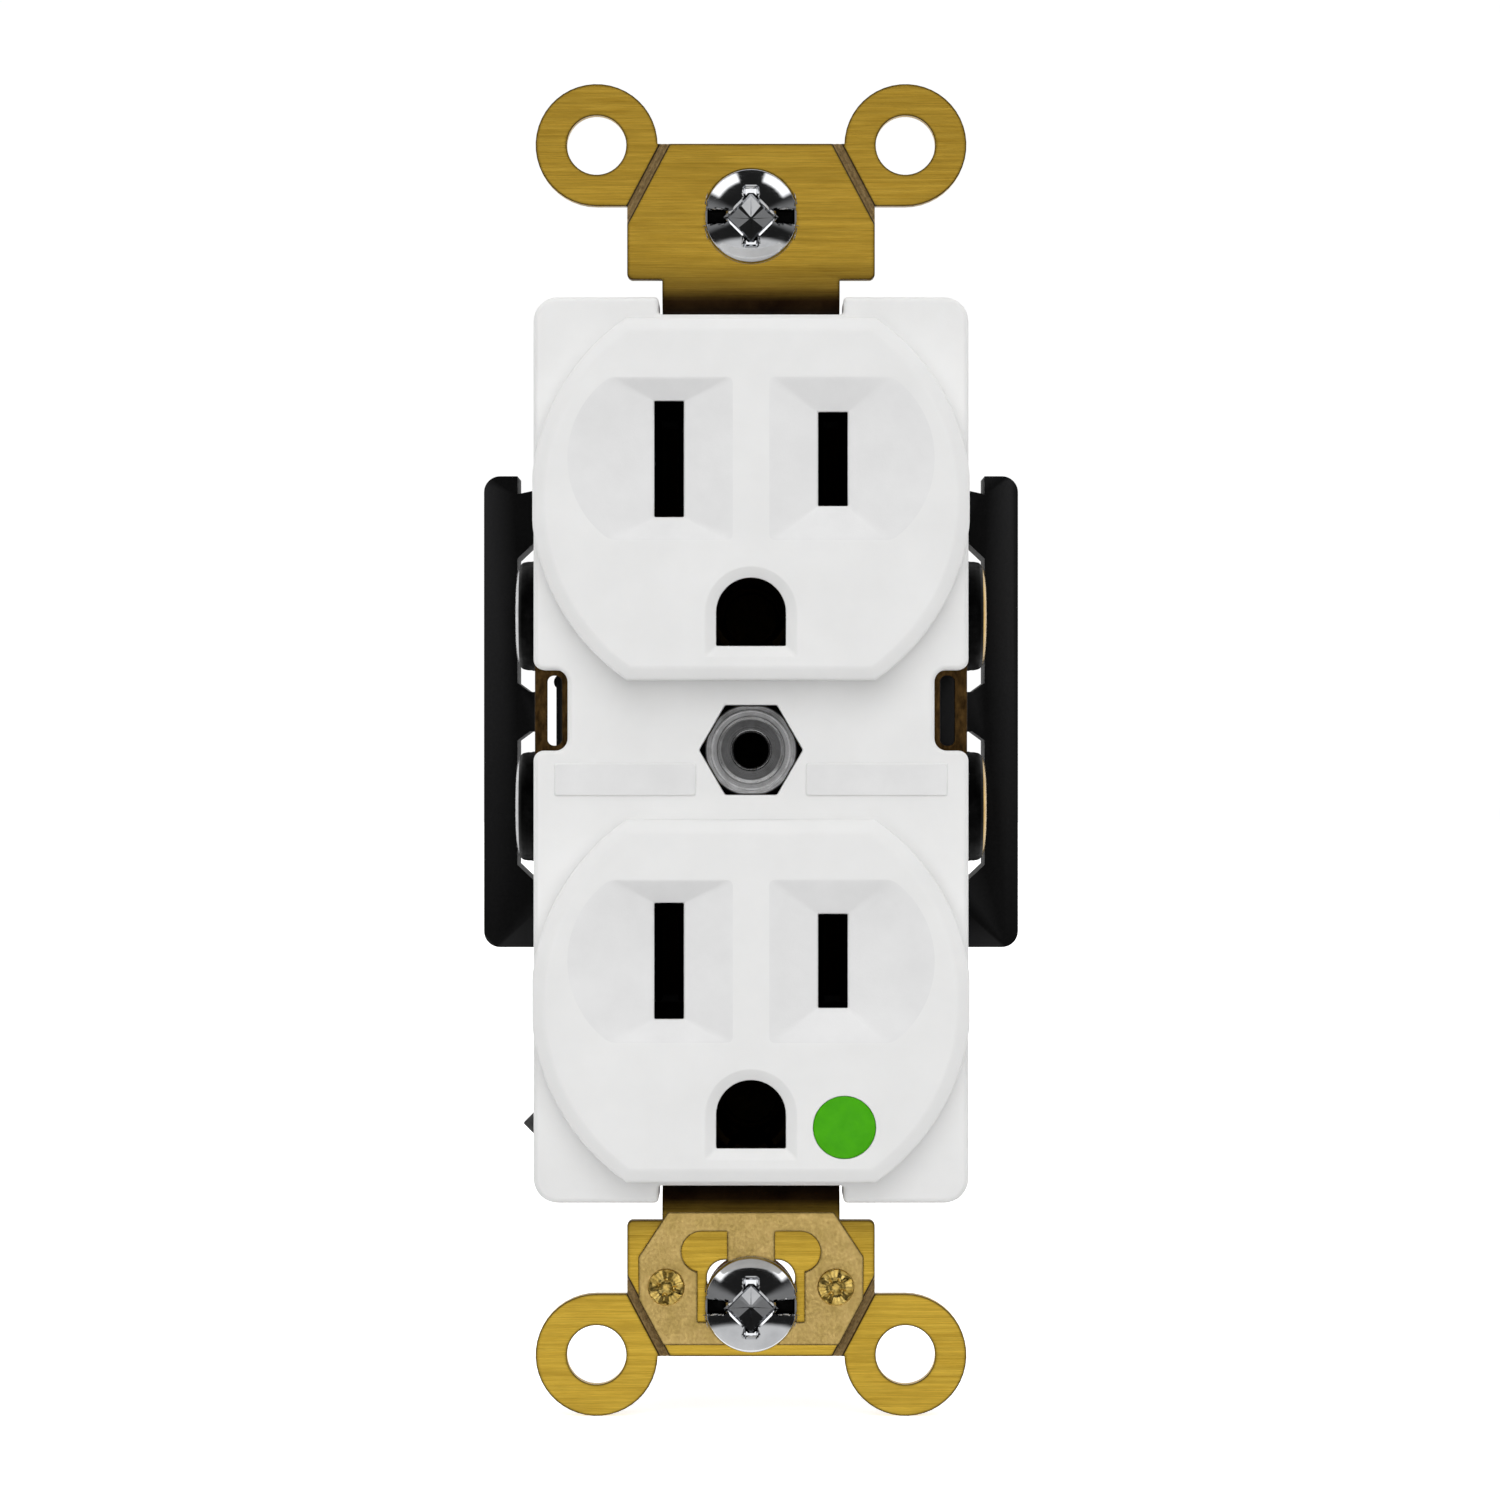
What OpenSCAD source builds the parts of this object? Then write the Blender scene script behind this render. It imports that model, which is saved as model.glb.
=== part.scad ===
// Duplex wall outlet, NEMA 5-15, with a wrap-around brass strap.
// X is across the outlet, Y runs back into the wall box, Z is up.
// The origin is on the wall-plate screw axis, in the plane of the strap's rear face.

/* [Face cover] */
// Width of the white cover
cover_width = 33.9; // [33.4:0.1:34.4]
// Height of the white cover
cover_length = 70.6; // [70.4:0.1:71.2]
// Distance from the strap's rear face to the cover's flange
flange_rise = 4.2; // [3.8:0.1:4.6]
// Distance from the strap's rear face to the front of the raised faces
face_rise = 7.6; // [7.2:0.1:8.4]
// Depth of the cover behind the strap's rear face
cover_back = 3.8; // [3.4:0.1:3.8]
// Thickness of the cover's walls
cover_wall = 1.8; // [1.4:0.1:2]

/* [Sockets] */
// Distance between the centres of the two raised faces
face_pitch = 38.9; // [38.7:0.1:39.1]
// Radius of a raised face
face_radius = 17.05; // [16.9:0.05:17.3]
// Height of a raised face between its two flats
face_height = 28.1; // [27.8:0.1:28.6]
// Distance between the two blade slots
blade_pitch = 12.7; // [12.5:0.1:12.9]
// Height of a blade slot above the centre of its face
blade_rise = 3.1; // [2.9:0.1:3.3]
// Width of a blade slot
slot_width = 2.3; // [1.9:0.1:2.4]
// Height of the neutral slot
neutral_slot = 9; // [8.4:0.1:9.2]
// Height of the line slot
line_slot = 7.3; // [6.8:0.1:7.6]
// Distance from the blade slots down to the ground pin
ground_drop = 11.9; // [11.7:0.1:12.1]
// Radius of the ground opening's arch
ground_radius = 2.7; // [2.5:0.01:2.8]

/* [Strap] */
// Thickness of the strap
strap_thick = 1.3; // [1.2:0.1:1.4]
// Width of the strap where it wraps around the body
strap_width = 13.9; // [13.5:0.1:14.1]
// Width of the strap's end plates
plate_width = 19.4; // [19:0.1:19.8]
// Distance from the centre to the end of a plate
plate_reach = 47.5; // [47.2:0.1:48]
// Distance across between two ear holes
ear_pitch_x = 24.2; // [24:0.1:24.4]
// Distance up and down between two ear holes
ear_pitch_z = 94.8; // [94.4:0.1:95.2]
// Radius of a plaster ear
ear_radius = 4.78; // [4.5:0.01:4.9]
// Radius of an ear's hole
ear_hole_radius = 2.33; // [2.1:0.01:2.5]

/* [Body] */
// Width of the black body away from its terminals
body_width = 33.2; // [32.8:0.1:33.4]
// Distance from the strap's rear face to the back of the body
body_back = 22.95; // [22.4:0.05:23.4]
// Thickness of the body's walls and floor
body_wall = 1.75; // [1.5:0.05:2]
// Width over the two side rails
rail_span = 43.2; // [42.8:0.1:43.6]
// Height of a side rail
rail_length = 38.1; // [37.6:0.1:38.6]

/* [Fasteners] */
// Major radius of the terminal and ground screws
terminal_screw_radius = 2.08; // [2.08:0.01:2.1]
// Radius of a terminal screw's head
terminal_head_radius = 4.4; // [3.9:0.1:4.5]
// Major radius of the two box screws
box_screw_radius = 1.75; // [1.7:0.01:1.75]
// Radius of a box screw's head
box_head_radius = 3.67; // [3.5:0.01:3.7]
// Height of the top box screw above the centre
top_screw_rise = 41.7; // [41.6:0.1:42.4]
// Depth of the bottom box screw below the centre
bottom_screw_drop = 43.5; // [43.3:0.1:43.6]
// Minor radius of the thread for the wall-plate screw
plate_thread_radius = 1.43; // [1.35:0.01:1.5]

/* [Hidden] */
$fn = 64;
over = 1;
gap = 0.05;
turning_gap = 0.07;

half_cover = cover_width / 2;
half_length = cover_length / 2;
cover_corner = 1.9;
face_skin = 2;
recess_radius = 7.7;
recess_half_height = 6.25;
recess_inner = 1.5;
recess_depth = 1;
face_bevel = 0.4;
slot_margin = 0.1;
ground_flat = 2.6;
ground_lead = 0.85;
ground_lead_depth = 0.4;
hex_pocket_flats = 7;
hex_post_flats = 6.8;
hex_corner = hex_post_flats / sqrt(3);
post_hole_radius = hex_corner + gap;
plaque_size = [11.1, 2.6];
plaque_rise = 0.15;
plaque_centre = [9.8, -2.3];
dot_radius = 2.43;
dot_centre = [7.23, -29.2];
dot_depth = 0.4;

end_notch_width = 14.4;
end_notch_depth = 1.35;
notch_inner = 14.3;
notch_half_height = 3.15;

bend_outer = 2.5;
bend_inner = bend_outer - strap_thick;
leg_inner = half_length - end_notch_depth + gap;
leg_outer = leg_inner + strap_thick;
body_end = half_length - end_notch_depth;
body_chamfer = 1.4;
strap_back = body_back + gap + strap_thick;
shoulder = 36.85;
bottom_hole = [6.9, 5.9];

terminal_centre = blade_rise;
terminal_screw_rise = 7.6;
terminal_screw_y = 8.5;
terminal_inner = 15.15;
terminal_thick = 0.9;
terminal_outer = terminal_inner + terminal_thick;
terminal_gap_half = 3;
barrier_half = 2.95;
fin_slot = [1.15, 5.5];
terminal_top = 15.4;
bus_bottom = 12.8;
bus_front = 13.1;
bus_back = bus_front + terminal_thick;
fin_front = 0.6;
fin_back = fin_front + terminal_thick;
fin_inner = 14.2;
fin_outer = 17;
fin_half_height = 4.1;
grip_rise = face_pitch / 2;
grip_half_height = 3.4;
grip_mouth = -1.8;
leaf_thick = 0.7;

clamp_thick = 1.5;
clamp_size = [8, 8.2];
clamp_outer = terminal_inner - gap;
pocket_floor = 10.5;
pocket_front = 4;
hood_front = 1.6;
pocket_back = 12.85;
terminal_head_thick = 2.7;

ground_terminal = [-14.1, -30.6];
ground_clamp_half = 3.25;
ground_clamp_back = body_back;
ground_head_flats = 7;
ground_head_thick = 2.4;
corner_cut = [-8.9, -25.2];
corner_cut_front = 16.6;

box_screw_length = 25.4;
box_neck_radius = box_screw_radius - 0.25;
washer_back = 5.2;
washer_radius = 3.6;

clip_thick = 0.4;
clip_rivet_radius = 1.44;
clip_tongue_half = 1.87;
clip_rivet = [6.64, -42.05];

body_screw_radius = 1.5;
body_screw_head_radius = 2.5;
upper_body_screw = [11.8, 29.4];
lower_body_screw = [11.8, -22.6];

rail_thick = 2.7;
rail_outer = rail_span / 2;
rail_inner = rail_outer - rail_thick;
rail_front = 14.5;
rail_corner = 1.3;
body_side = terminal_inner - 0.1;

// ---------- shape helpers ----------

// A flat outline drawn in X and Z, from y0 back to y1.
module slab_y(y0, y1) {
    translate([0, y1, 0]) rotate([90, 0, 0]) linear_extrude(y1 - y0) children();
}

// A flat outline drawn in Y and Z, from x0 to x1.
module slab_x(x0, x1) {
    translate([x0, 0, 0]) rotate([90, 0, 90]) linear_extrude(x1 - x0) children();
}

module rod_y(y0, y1, r) {
    translate([0, y1, 0]) rotate([90, 0, 0]) cylinder(h = y1 - y0, r = r);
}

module rod_x(x0, x1, r) {
    translate([x0, 0, 0]) rotate([0, 90, 0]) cylinder(h = x1 - x0, r = r);
}

module box(from, to) {
    translate(from) cube(to - from);
}

module at_xz(point) {
    translate([point[0], 0, point[1]]) children();
}

module rounded_rect(size, r) {
    square([size[0] - 2 * r, size[1]], center = true);
    square([size[0], size[1] - 2 * r], center = true);
    for (sx = [-1, 1], sz = [-1, 1])
        translate([sx * (size[0] / 2 - r), sz * (size[1] / 2 - r)]) circle(r);
}

module both_sides() {
    children();
    mirror([1, 0, 0]) children();
}

module both_ends() {
    children();
    mirror([0, 0, 1]) children();
}

// Both halves of what repeats above and below the terminals' centre.
module about_terminals() {
    translate([0, 0, terminal_centre]) children();
    translate([0, 0, terminal_centre]) mirror([0, 0, 1]) children();
}

module hex_rod_y(y0, y1, flats) {
    translate([0, y1, 0]) rotate([90, 0, 0]) cylinder(h = y1 - y0, r = flats / sqrt(3), $fn = 6);
}

// ---------- face cover ----------

module side_notch() {
    width = 2 * (half_cover - notch_inner);
    translate([half_cover, terminal_centre]) rounded_rect([width, 2 * notch_half_height], 0.95);
    for (s = [-1, 1])
        translate([half_cover, terminal_centre + s * (notch_half_height + 0.39)]) difference() {
            square([1.6, 0.8], center = true);
            translate([-0.8, s * 0.4]) circle(0.8);
        }
}

module cover_outline() {
    difference() {
        rounded_rect([cover_width, cover_length], cover_corner);
        for (s = [-1, 1]) {
            translate([0, s * half_length]) square([end_notch_width, 2 * end_notch_depth], center = true);
            mirror([s > 0 ? 1 : 0, 0]) side_notch();
        }
    }
}

// A raised face: a disc with two flats, kept inside the cover, with a bevelled front edge.
module raised_face() {
    half = face_height / 2;
    rise = face_rise - flange_rise + over;
    intersection() {
        translate([0, -flange_rise + over, 0]) rotate([90, 0, 0]) {
            cylinder(h = rise - face_bevel, r = face_radius);
            translate([0, 0, rise - face_bevel])
                cylinder(h = face_bevel, r1 = face_radius, r2 = face_radius - face_bevel);
        }
        slab_x(-half_cover, half_cover) polygon([
            [-flange_rise + over, half], [-face_rise + face_bevel, half],
            [-face_rise, half - face_bevel], [-face_rise, -half + face_bevel],
            [-face_rise + face_bevel, -half], [-flange_rise + over, -half]]);
    }
}

// A recess around one blade slot: a shallow cone cut by three flat facets, all sloping down to the slot.
module blade_recess(side, slot) {
    inner = blade_pitch / 2 - recess_inner;
    edge = slot_width / 2 + slot_margin;
    tall = slot / 2 + slot_margin;
    floor_y = -face_rise + recess_depth;
    intersection() {
        translate([0, floor_y, 0]) rotate([90, 0, 0])
            cylinder(h = recess_depth + over, r1 = tall + slot_margin, r2 = recess_radius);
        slab_x(-recess_radius, recess_radius) polygon([
            [-face_rise - over, recess_half_height], [-face_rise, recess_half_height],
            [floor_y, tall], [floor_y, -tall],
            [-face_rise, -recess_half_height], [-face_rise - over, -recess_half_height]]);
        mirror([side > 0 ? 1 : 0, 0, 0]) linear_extrude(2 * recess_radius, center = true) polygon([
            [-recess_radius, -face_rise - over], [-edge, floor_y],
            [edge, floor_y], [inner, -face_rise], [inner, -face_rise - over]]);
    }
}

// The arched opening for the ground pin, with a sloping lead-in all round.
module ground_opening() {
    front = -face_rise;
    bottom = front + ground_lead_depth;
    wide = ground_radius + ground_lead;
    low = ground_flat + ground_lead;
    slab_y(front - over, 0) union() {
        circle(ground_radius);
        translate([-ground_radius, -ground_flat]) square([2 * ground_radius, ground_flat]);
    }
    intersection() {
        translate([0, bottom, 0]) rotate([90, 0, 0])
            cylinder(h = ground_lead_depth, r1 = ground_radius, r2 = wide);
        box([-wide, front, 0], [wide, 0, wide]);
    }
    intersection() {
        translate([0, 0, -low]) linear_extrude(low) polygon([
            [-wide, front], [-ground_radius, bottom], [ground_radius, bottom], [wide, front]]);
        slab_x(-wide, wide) polygon([
            [front, 0], [bottom, 0], [bottom, -ground_flat], [front, -low]]);
    }
}

module socket_openings() {
    for (side = [-1, 1]) {
        slot = side < 0 ? neutral_slot : line_slot;
        translate([side * blade_pitch / 2, 0, blade_rise]) {
            blade_recess(side, slot);
            box([-slot_width / 2, -face_rise - over, -slot / 2], [slot_width / 2, 0, slot / 2]);
        }
    }
    translate([0, 0, blade_rise - ground_drop]) ground_opening();
}

module cover_cavity() {
    wide = cover_width - 2 * cover_wall;
    long = cover_length - 2 * cover_wall;
    slab_y(-flange_rise + cover_wall, cover_back + over) rounded_rect([wide, long], 0.8);
    for (s = [-1, 1])
        translate([0, 0, s * face_pitch / 2])
            slab_y(-face_rise + face_skin, -flange_rise + cover_wall + over) intersection() {
                circle(face_radius - cover_wall);
                square([wide, face_height - 2 * cover_wall], center = true);
            }
}

// What stands inside the cover: the hex socket's wall, the notch walls and the screw bosses.
module cover_bosses() {
    front = -flange_rise + over;
    rod_y(front, cover_back, 5.6);
    both_sides() {
        box([notch_inner - cover_wall, front, terminal_centre - 5],
            [half_cover, 0.4, terminal_centre + 5]);
        at_xz(upper_body_screw) rod_y(front, cover_back, 2.7);
        at_xz(lower_body_screw) rod_y(-face_rise + face_skin - 0.5, cover_back, 2.7);
    }
    both_ends() box([-8.9, front, half_length - 3.1], [8.9, cover_back, half_length - end_notch_depth]);
}

module body_screw_places() {
    both_sides() {
        at_xz(upper_body_screw) children();
        at_xz(lower_body_screw) children();
    }
}

module face_cover() {
    color("whitesmoke") difference() {
        union() {
            slab_y(-flange_rise, cover_back) cover_outline();
            for (s = [-1, 1]) translate([0, 0, s * face_pitch / 2]) raised_face();
            both_sides() at_xz(plaque_centre)
                slab_y(-flange_rise - plaque_rise, -flange_rise + over) square(plaque_size, center = true);
        }
        difference() {
            cover_cavity();
            cover_bosses();
        }
        for (s = [-1, 1]) translate([0, 0, s * face_pitch / 2]) socket_openings();
        hex_rod_y(-flange_rise - over, cover_back + over, hex_pocket_flats);
        both_sides() {
            box([13.4, 0.4, terminal_centre - terminal_top - 0.2],
                [half_cover + over, cover_back + over, terminal_centre + terminal_top + 0.2]);
        }
        body_screw_places() rod_y(-1.4, cover_back + over, body_screw_radius + gap);
        at_xz(dot_centre) rod_y(-face_rise - over, -face_rise + dot_depth, dot_radius + 0.02);
    }
}

module hospital_grade_dot() {
    color("limegreen") at_xz(dot_centre) rod_y(-face_rise, -face_rise + dot_depth, dot_radius);
}

// ---------- back body ----------

module body_outline() {
    rounded_rect([body_width, cover_length - 2 * end_notch_depth], 1.6);
}

module body_cavity() {
    inside = body_width / 2 - body_wall;
    floor_y = body_back - body_wall;
    reach = half_length - end_notch_depth - body_wall;
    difference() {
        slab_y(cover_back - over, floor_y) rounded_rect([2 * inside, 2 * reach], 0.8);
        rod_y(0, body_back, 5.4);
        body_screw_places() rod_y(0, body_back, 2.7);
        both_sides() {
            box([pocket_floor - 0.8, 0, terminal_centre - 12.6],
                [body_width, body_back, terminal_centre + 12.6]);
            about_terminals() {
                box([4.3, bus_back + gap, 12.8], [9.4, body_back, grip_rise + 4]);
                box([4.3, bus_back + gap, 12.8], [body_width, body_back, 15.5]);
            }
            box([body_side - body_wall, 0, terminal_centre - 15.5],
                [body_width, body_back, terminal_centre + 15.5]);
        }
        box([-body_width, corner_cut_front - body_wall, -body_width - 5],
            [corner_cut[0] + body_wall, body_back, corner_cut[1] + body_wall]);
    }
}

// The rail on one side, with two webs and gussets that tie it to the body.
module side_rail() {
    half = rail_length / 2;
    slab_y(rail_front, body_back) translate([0, terminal_centre]) {
        translate([rail_inner, 0]) intersection() {
            rounded_rect([2 * rail_thick, rail_length], rail_corner);
            translate([0, -half]) square([rail_thick, rail_length]);
        }
        polygon([[body_side - 0.5, 13.9], [rail_inner - 1.6, 13.9], [rail_inner + 0.2, 12.2],
                 [rail_inner + 0.2, half - 1.5], [body_side - 0.5, half - 0.5]]);
        polygon([[body_side - 0.5, -13.9], [rail_inner - 1.6, -13.9], [rail_inner + 0.2, -12.2],
                 [rail_inner + 0.2, -half], [body_side - 0.5, -half]]);
        polygon([[rail_inner + 0.5, -2.7], [rail_inner - 1, -1.6], [16.9, -1.6],
                 [16.9, 1.6], [rail_inner - 1, 1.6], [rail_inner + 0.5, 2.7]]);
    }
}

// The insulating barrier between the two terminals of one side.
module terminal_barrier(outer) {
    box([body_side - 0.5, 5, terminal_centre - barrier_half],
        [outer, body_back, terminal_centre + barrier_half]);
}

// The front wall of one side's terminal pockets, which reaches up inside the cover.
module terminal_hood() {
    box([pocket_floor - 0.8, hood_front, terminal_centre - 12.6],
        [body_side, pocket_front + gap, terminal_centre + 12.6]);
}

module back_body() {
    color([0.09, 0.09, 0.09]) difference() {
        union() {
            difference() {
                slab_y(cover_back + gap, body_back) body_outline();
                both_sides() box([body_side, 0, terminal_centre - 15.5],
                                 [body_width, body_back + over, terminal_centre + 15.5]);
            }
            both_sides() side_rail();
            both_sides() terminal_hood();
            terminal_barrier(16.3);
            mirror([1, 0, 0]) terminal_barrier(body_side + 0.4);
            box([body_side, rail_front, terminal_centre - 1.6], [17, body_back, terminal_centre + 1.6]);
            translate([-body_side, 0, terminal_centre + 2.3]) rod_y(5, 9, 0.6);
        }
        body_cavity();
        both_sides() {
            about_terminals() {
                box([pocket_floor, pocket_front, 3.35], [body_width / 2 - 1.2, pocket_back, 11.85]);
                box([9, 0, bus_bottom - 0.1], [body_width, bus_back + gap, terminal_top + 0.1]);
                for (side = [-1, 1])
                    translate([13.3, 0, terminal_screw_rise + side * 3.1])
                        rod_y(pocket_back - over, body_back + over, 1.4);
            }
        }
        rod_y(0, body_back + over, post_hole_radius);
        both_ends() slab_x(-body_width, body_width) polygon([
            [body_back - body_chamfer, body_end], [body_back + over, body_end + over],
            [body_back + over, body_end - body_chamfer - over]]);
        for (z = [face_pitch / 2, -face_pitch / 2]) translate([0, 0, z + blade_rise - ground_drop])
            rod_y(body_back - body_wall - over, body_back + over, 1.55);
        body_screw_places() {
            rod_y(0, body_back, body_screw_radius + gap);
            rod_y(body_back - 1.5, body_back + over, body_screw_head_radius + gap);
        }
        box([-body_width, corner_cut_front, -body_width - 5],
            [corner_cut[0], body_back + over, corner_cut[1]]);
    }
}

// ---------- strap and its fittings ----------

module ear_holes() {
    for (sx = [-1, 1]) translate([sx * ear_pitch_x / 2, ear_pitch_z / 2]) circle(ear_hole_radius);
}

// One end plate with its two ears, drawn in X and Z.
module end_plate() {
    difference() {
        union() {
            translate([0, (shoulder + 43.4) / 2]) rounded_rect([plate_width, 43.4 - shoulder], 0.45);
            translate([-strap_width / 2, leg_inner + bend_outer])
                square([strap_width, shoulder - leg_inner]);
            translate([-ear_pitch_x / 2 + ear_radius, 42])
                square([ear_pitch_x - 2 * ear_radius, plate_reach - 42]);
            for (sx = [-1, 1]) translate([sx * ear_pitch_x / 2, ear_pitch_z / 2]) {
                circle(ear_radius);
                translate([sx > 0 ? -ear_radius : 0, -ear_radius]) square(ear_radius);
            }
        }
        ear_holes();
    }
}

// The strap's run around the body, seen from the side.
module wrap_profile() {
    bend_y = -strap_thick + bend_outer;
    rear_y = strap_back - bend_outer;
    for (s = [-1, 1]) scale([1, s]) {
        intersection() {
            translate([bend_y, leg_inner + bend_outer]) difference() {
                circle(bend_outer);
                circle(bend_inner);
            }
            translate([bend_y - bend_outer, leg_inner]) square(bend_outer);
        }
        translate([bend_y, leg_inner]) square([rear_y - bend_y, strap_thick]);
        intersection() {
            translate([rear_y, leg_outer - bend_outer]) difference() {
                circle(bend_outer);
                circle(bend_inner);
            }
            translate([rear_y, leg_outer - bend_outer]) square(bend_outer);
        }
    }
    translate([strap_back - strap_thick, -leg_outer + bend_outer])
        square([strap_thick, 2 * (leg_outer - bend_outer)]);
}

// The two score lines where a plaster ear snaps off.
module ear_scores() {
    start = [6.75, 47.5];
    end = [9.6, 42.1];
    along = atan2(end[1] - start[1], end[0] - start[0]);
    both_ends() both_sides() for (shift = [-0.18, 0.18])
        translate([start[0], -strap_thick, start[1]]) rotate([0, -along, 0]) translate([-0.4, 0, shift])
            rotate([45, 0, 0]) translate([0, -0.17, -0.17]) cube([7, 0.34, 0.34]);
}

module mounting_strap() {
    color("goldenrod") difference() {
        union() {
            slab_y(-strap_thick, 0) {
                end_plate();
                mirror([0, 1]) end_plate();
            }
            slab_x(-strap_width / 2, strap_width / 2) wrap_profile();
            slab_y(strap_back - strap_thick, strap_back) {
                translate(ground_terminal) circle(3.4);
                translate([ground_terminal[0], ground_terminal[1] - 3.4])
                    square([-ground_terminal[0], 6.8]);
            }
        }
        translate([0, 0, top_screw_rise + 0.3]) slab_y(-strap_thick - over, over)
            rounded_rect([4.1, 6], 2.04);
        translate([0, 0, -bottom_screw_drop + 0.6]) slab_y(-strap_thick - over, over)
            rounded_rect(bottom_hole, 1.4);
        both_sides() at_xz(clip_rivet) rod_y(-strap_thick - over, over, 0.9);
        rod_y(body_back, strap_back + over, 2.25);
        for (z = [face_pitch / 2, -face_pitch / 2]) translate([0, 0, z + blade_rise - ground_drop])
            rod_y(body_back, strap_back + over, 1.55);
        at_xz(ground_terminal) rod_y(body_back, strap_back + over, terminal_screw_radius + turning_gap);
        ear_scores();
    }
}

module self_ground_clip() {
    front = -strap_thick - clip_thick;
    color("darkkhaki") difference() {
        union() {
            slab_y(front, -strap_thick) difference() {
                polygon([[-6.5, -36.2], [6.5, -36.2], [8.82, -39.7], [8.8, -43],
                         [6.87, -46.6], [-6.87, -46.6], [-8.8, -43], [-8.82, -39.7]]);
                translate([-3.85, -44.8]) square([7.7, 7.1]);
                translate([-4.19, -44.8]) square([8.38, 5.6]);
                for (s = [-1, 1]) translate([s * 3.85, -39.3]) circle(1.6);
            }
            box([-clip_tongue_half, front, -42.6], [clip_tongue_half, -strap_thick, -37]);
        }
        both_sides() at_xz(clip_rivet) rod_y(front - over, 0, 0.9);
        translate([0, 0, -bottom_screw_drop]) rod_y(front - over, 0, box_screw_radius + 0.3);
    }
}

// Staked rivets through the clip and the strap.
module clip_rivets() {
    front = -strap_thick - clip_thick;
    color("gold") both_sides() at_xz(clip_rivet) {
        rod_y(front - 0.3, front, clip_rivet_radius);
        rod_y(front - 0.1, 0.4, 0.86);
        rod_y(0, 0.5, 1.3);
    }
}

// The hexagonal steel post that takes the wall-plate screw and holds the body to the strap.
module plate_screw_post() {
    front = -flange_rise + 0.5;
    collar = 2.42;
    color("silver") difference() {
        union() {
            intersection() {
                hex_rod_y(front, body_back, hex_post_flats);
                union() {
                    translate([0, front + 0.6, 0])
                        rotate([90, 0, 0]) cylinder(h = 0.6, r1 = hex_corner, r2 = 3.3);
                    rod_y(front + 0.6, body_back, hex_corner);
                }
            }
            rod_y(front - 0.4, front + over, collar);
            rod_y(body_back - over, strap_back + 0.2, 2.2);
            rod_y(strap_back, strap_back + 0.8, 3.2);
        }
        rod_y(front - over, 14, plate_thread_radius);
    }
}

// ---------- contacts ----------

// One spring leaf of a blade grip, drawn in X and Y beside the blade's centre line.
module grip_leaf() {
    polygon([
        [1.6, bus_back], [1.6, 7], [0.62, 1.6], [1.35, grip_mouth], [1.35 + leaf_thick, grip_mouth],
        [0.7 + leaf_thick, 1.6], [1.6 + leaf_thick, 7], [1.6 + leaf_thick, bus_back]]);
}

// The upper half of one side's contact, above the terminals' centre.
module contact_half() {
    grip_x = blade_pitch / 2;
    for (s = [0, 1]) translate([grip_x, 0, grip_rise - grip_half_height]) mirror([s, 0, 0])
        linear_extrude(2 * grip_half_height) grip_leaf();
    box([4.6, bus_front, bus_bottom], [9, bus_back, grip_rise + grip_half_height]);
    box([4.6, bus_front, bus_bottom], [terminal_outer, bus_back, terminal_top]);
    difference() {
        union() {
            box([terminal_inner, 4, terminal_gap_half], [terminal_outer, bus_back, terminal_top]);
            box([terminal_inner, fin_front, terminal_gap_half], [terminal_outer, 5, fin_half_height]);
        }
        translate([0, terminal_screw_y, terminal_screw_rise])
            rod_x(terminal_inner - over, terminal_outer + over, terminal_screw_radius + turning_gap);
    }
}

// One stamping with two blade grips, two screw terminals and the break-off fin between them.
module side_contacts() {
    about_terminals() contact_half();
    translate([0, 0, terminal_centre]) slab_y(fin_front, fin_back) difference() {
        translate([(fin_inner + fin_outer) / 2, 0])
            rounded_rect([fin_outer - fin_inner, 2 * fin_half_height], 0.3);
        translate([15.45, 0]) rounded_rect(fin_slot, 0.5);
    }
}

module line_contacts() {
    color("peru") side_contacts();
}

module neutral_contacts() {
    color("peru") mirror([1, 0, 0]) side_contacts();
}

// A slit brass sleeve that grips the ground pin, with a flared mouth and a riveted base.
module ground_contact(face) {
    base = body_back - body_wall - gap;
    color("peru") translate([0, 0, face * face_pitch / 2 + blade_rise - ground_drop]) difference() {
        union() {
            rotate([90, 0, 0]) rotate_extrude() polygon([
                [2.55, -base], [2.55, -6], [2.3, -1], [2.75, 2.6],
                [3.25, 2.6], [2.85, -1], [3.1, -6], [3.1, -base]
            ]);
            rod_y(base - 1, base, 3.3);
        }
        for (turn = [0, 60, 120]) rotate([0, turn, 0]) box([-4, -3, -0.3], [4, 13, 0.3]);
        rod_y(base - 2, base + over, 1.55);
    }
}

module upper_ground_contact() {
    ground_contact(1);
}

module lower_ground_contact() {
    ground_contact(-1);
}

module ground_contact_rivets() {
    base = body_back - body_wall - gap - 1;
    color("gold") for (s = [-1, 1]) translate([0, 0, s * face_pitch / 2 + blade_rise - ground_drop]) {
        rod_y(base - 0.7, base, 2.2);
        rod_y(base - 0.1, strap_back + 0.1, 1.5);
        rod_y(strap_back, strap_back + 0.7, 2.4);
    }
}

module body_screws() {
    head_front = body_back - 1.45;
    color("dimgray") body_screw_places() difference() {
        union() {
            rod_y(-1.2, head_front + 0.1, body_screw_radius);
            rod_y(head_front, body_back, body_screw_head_radius);
        }
        for (turn = [0, 90])
            rotate([0, turn, 0]) box([-1.6, body_back - 0.8, -0.3], [1.6, body_back + over, 0.3]);
    }
}

// ---------- wiring terminals ----------

// Places a terminal's parts: the line side is +X, the upper one is above the centre.
module at_terminal(side, level) {
    mirror([side < 0 ? 1 : 0, 0, 0])
        translate([0, terminal_screw_y, terminal_centre + level * terminal_screw_rise]) children();
}

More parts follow.
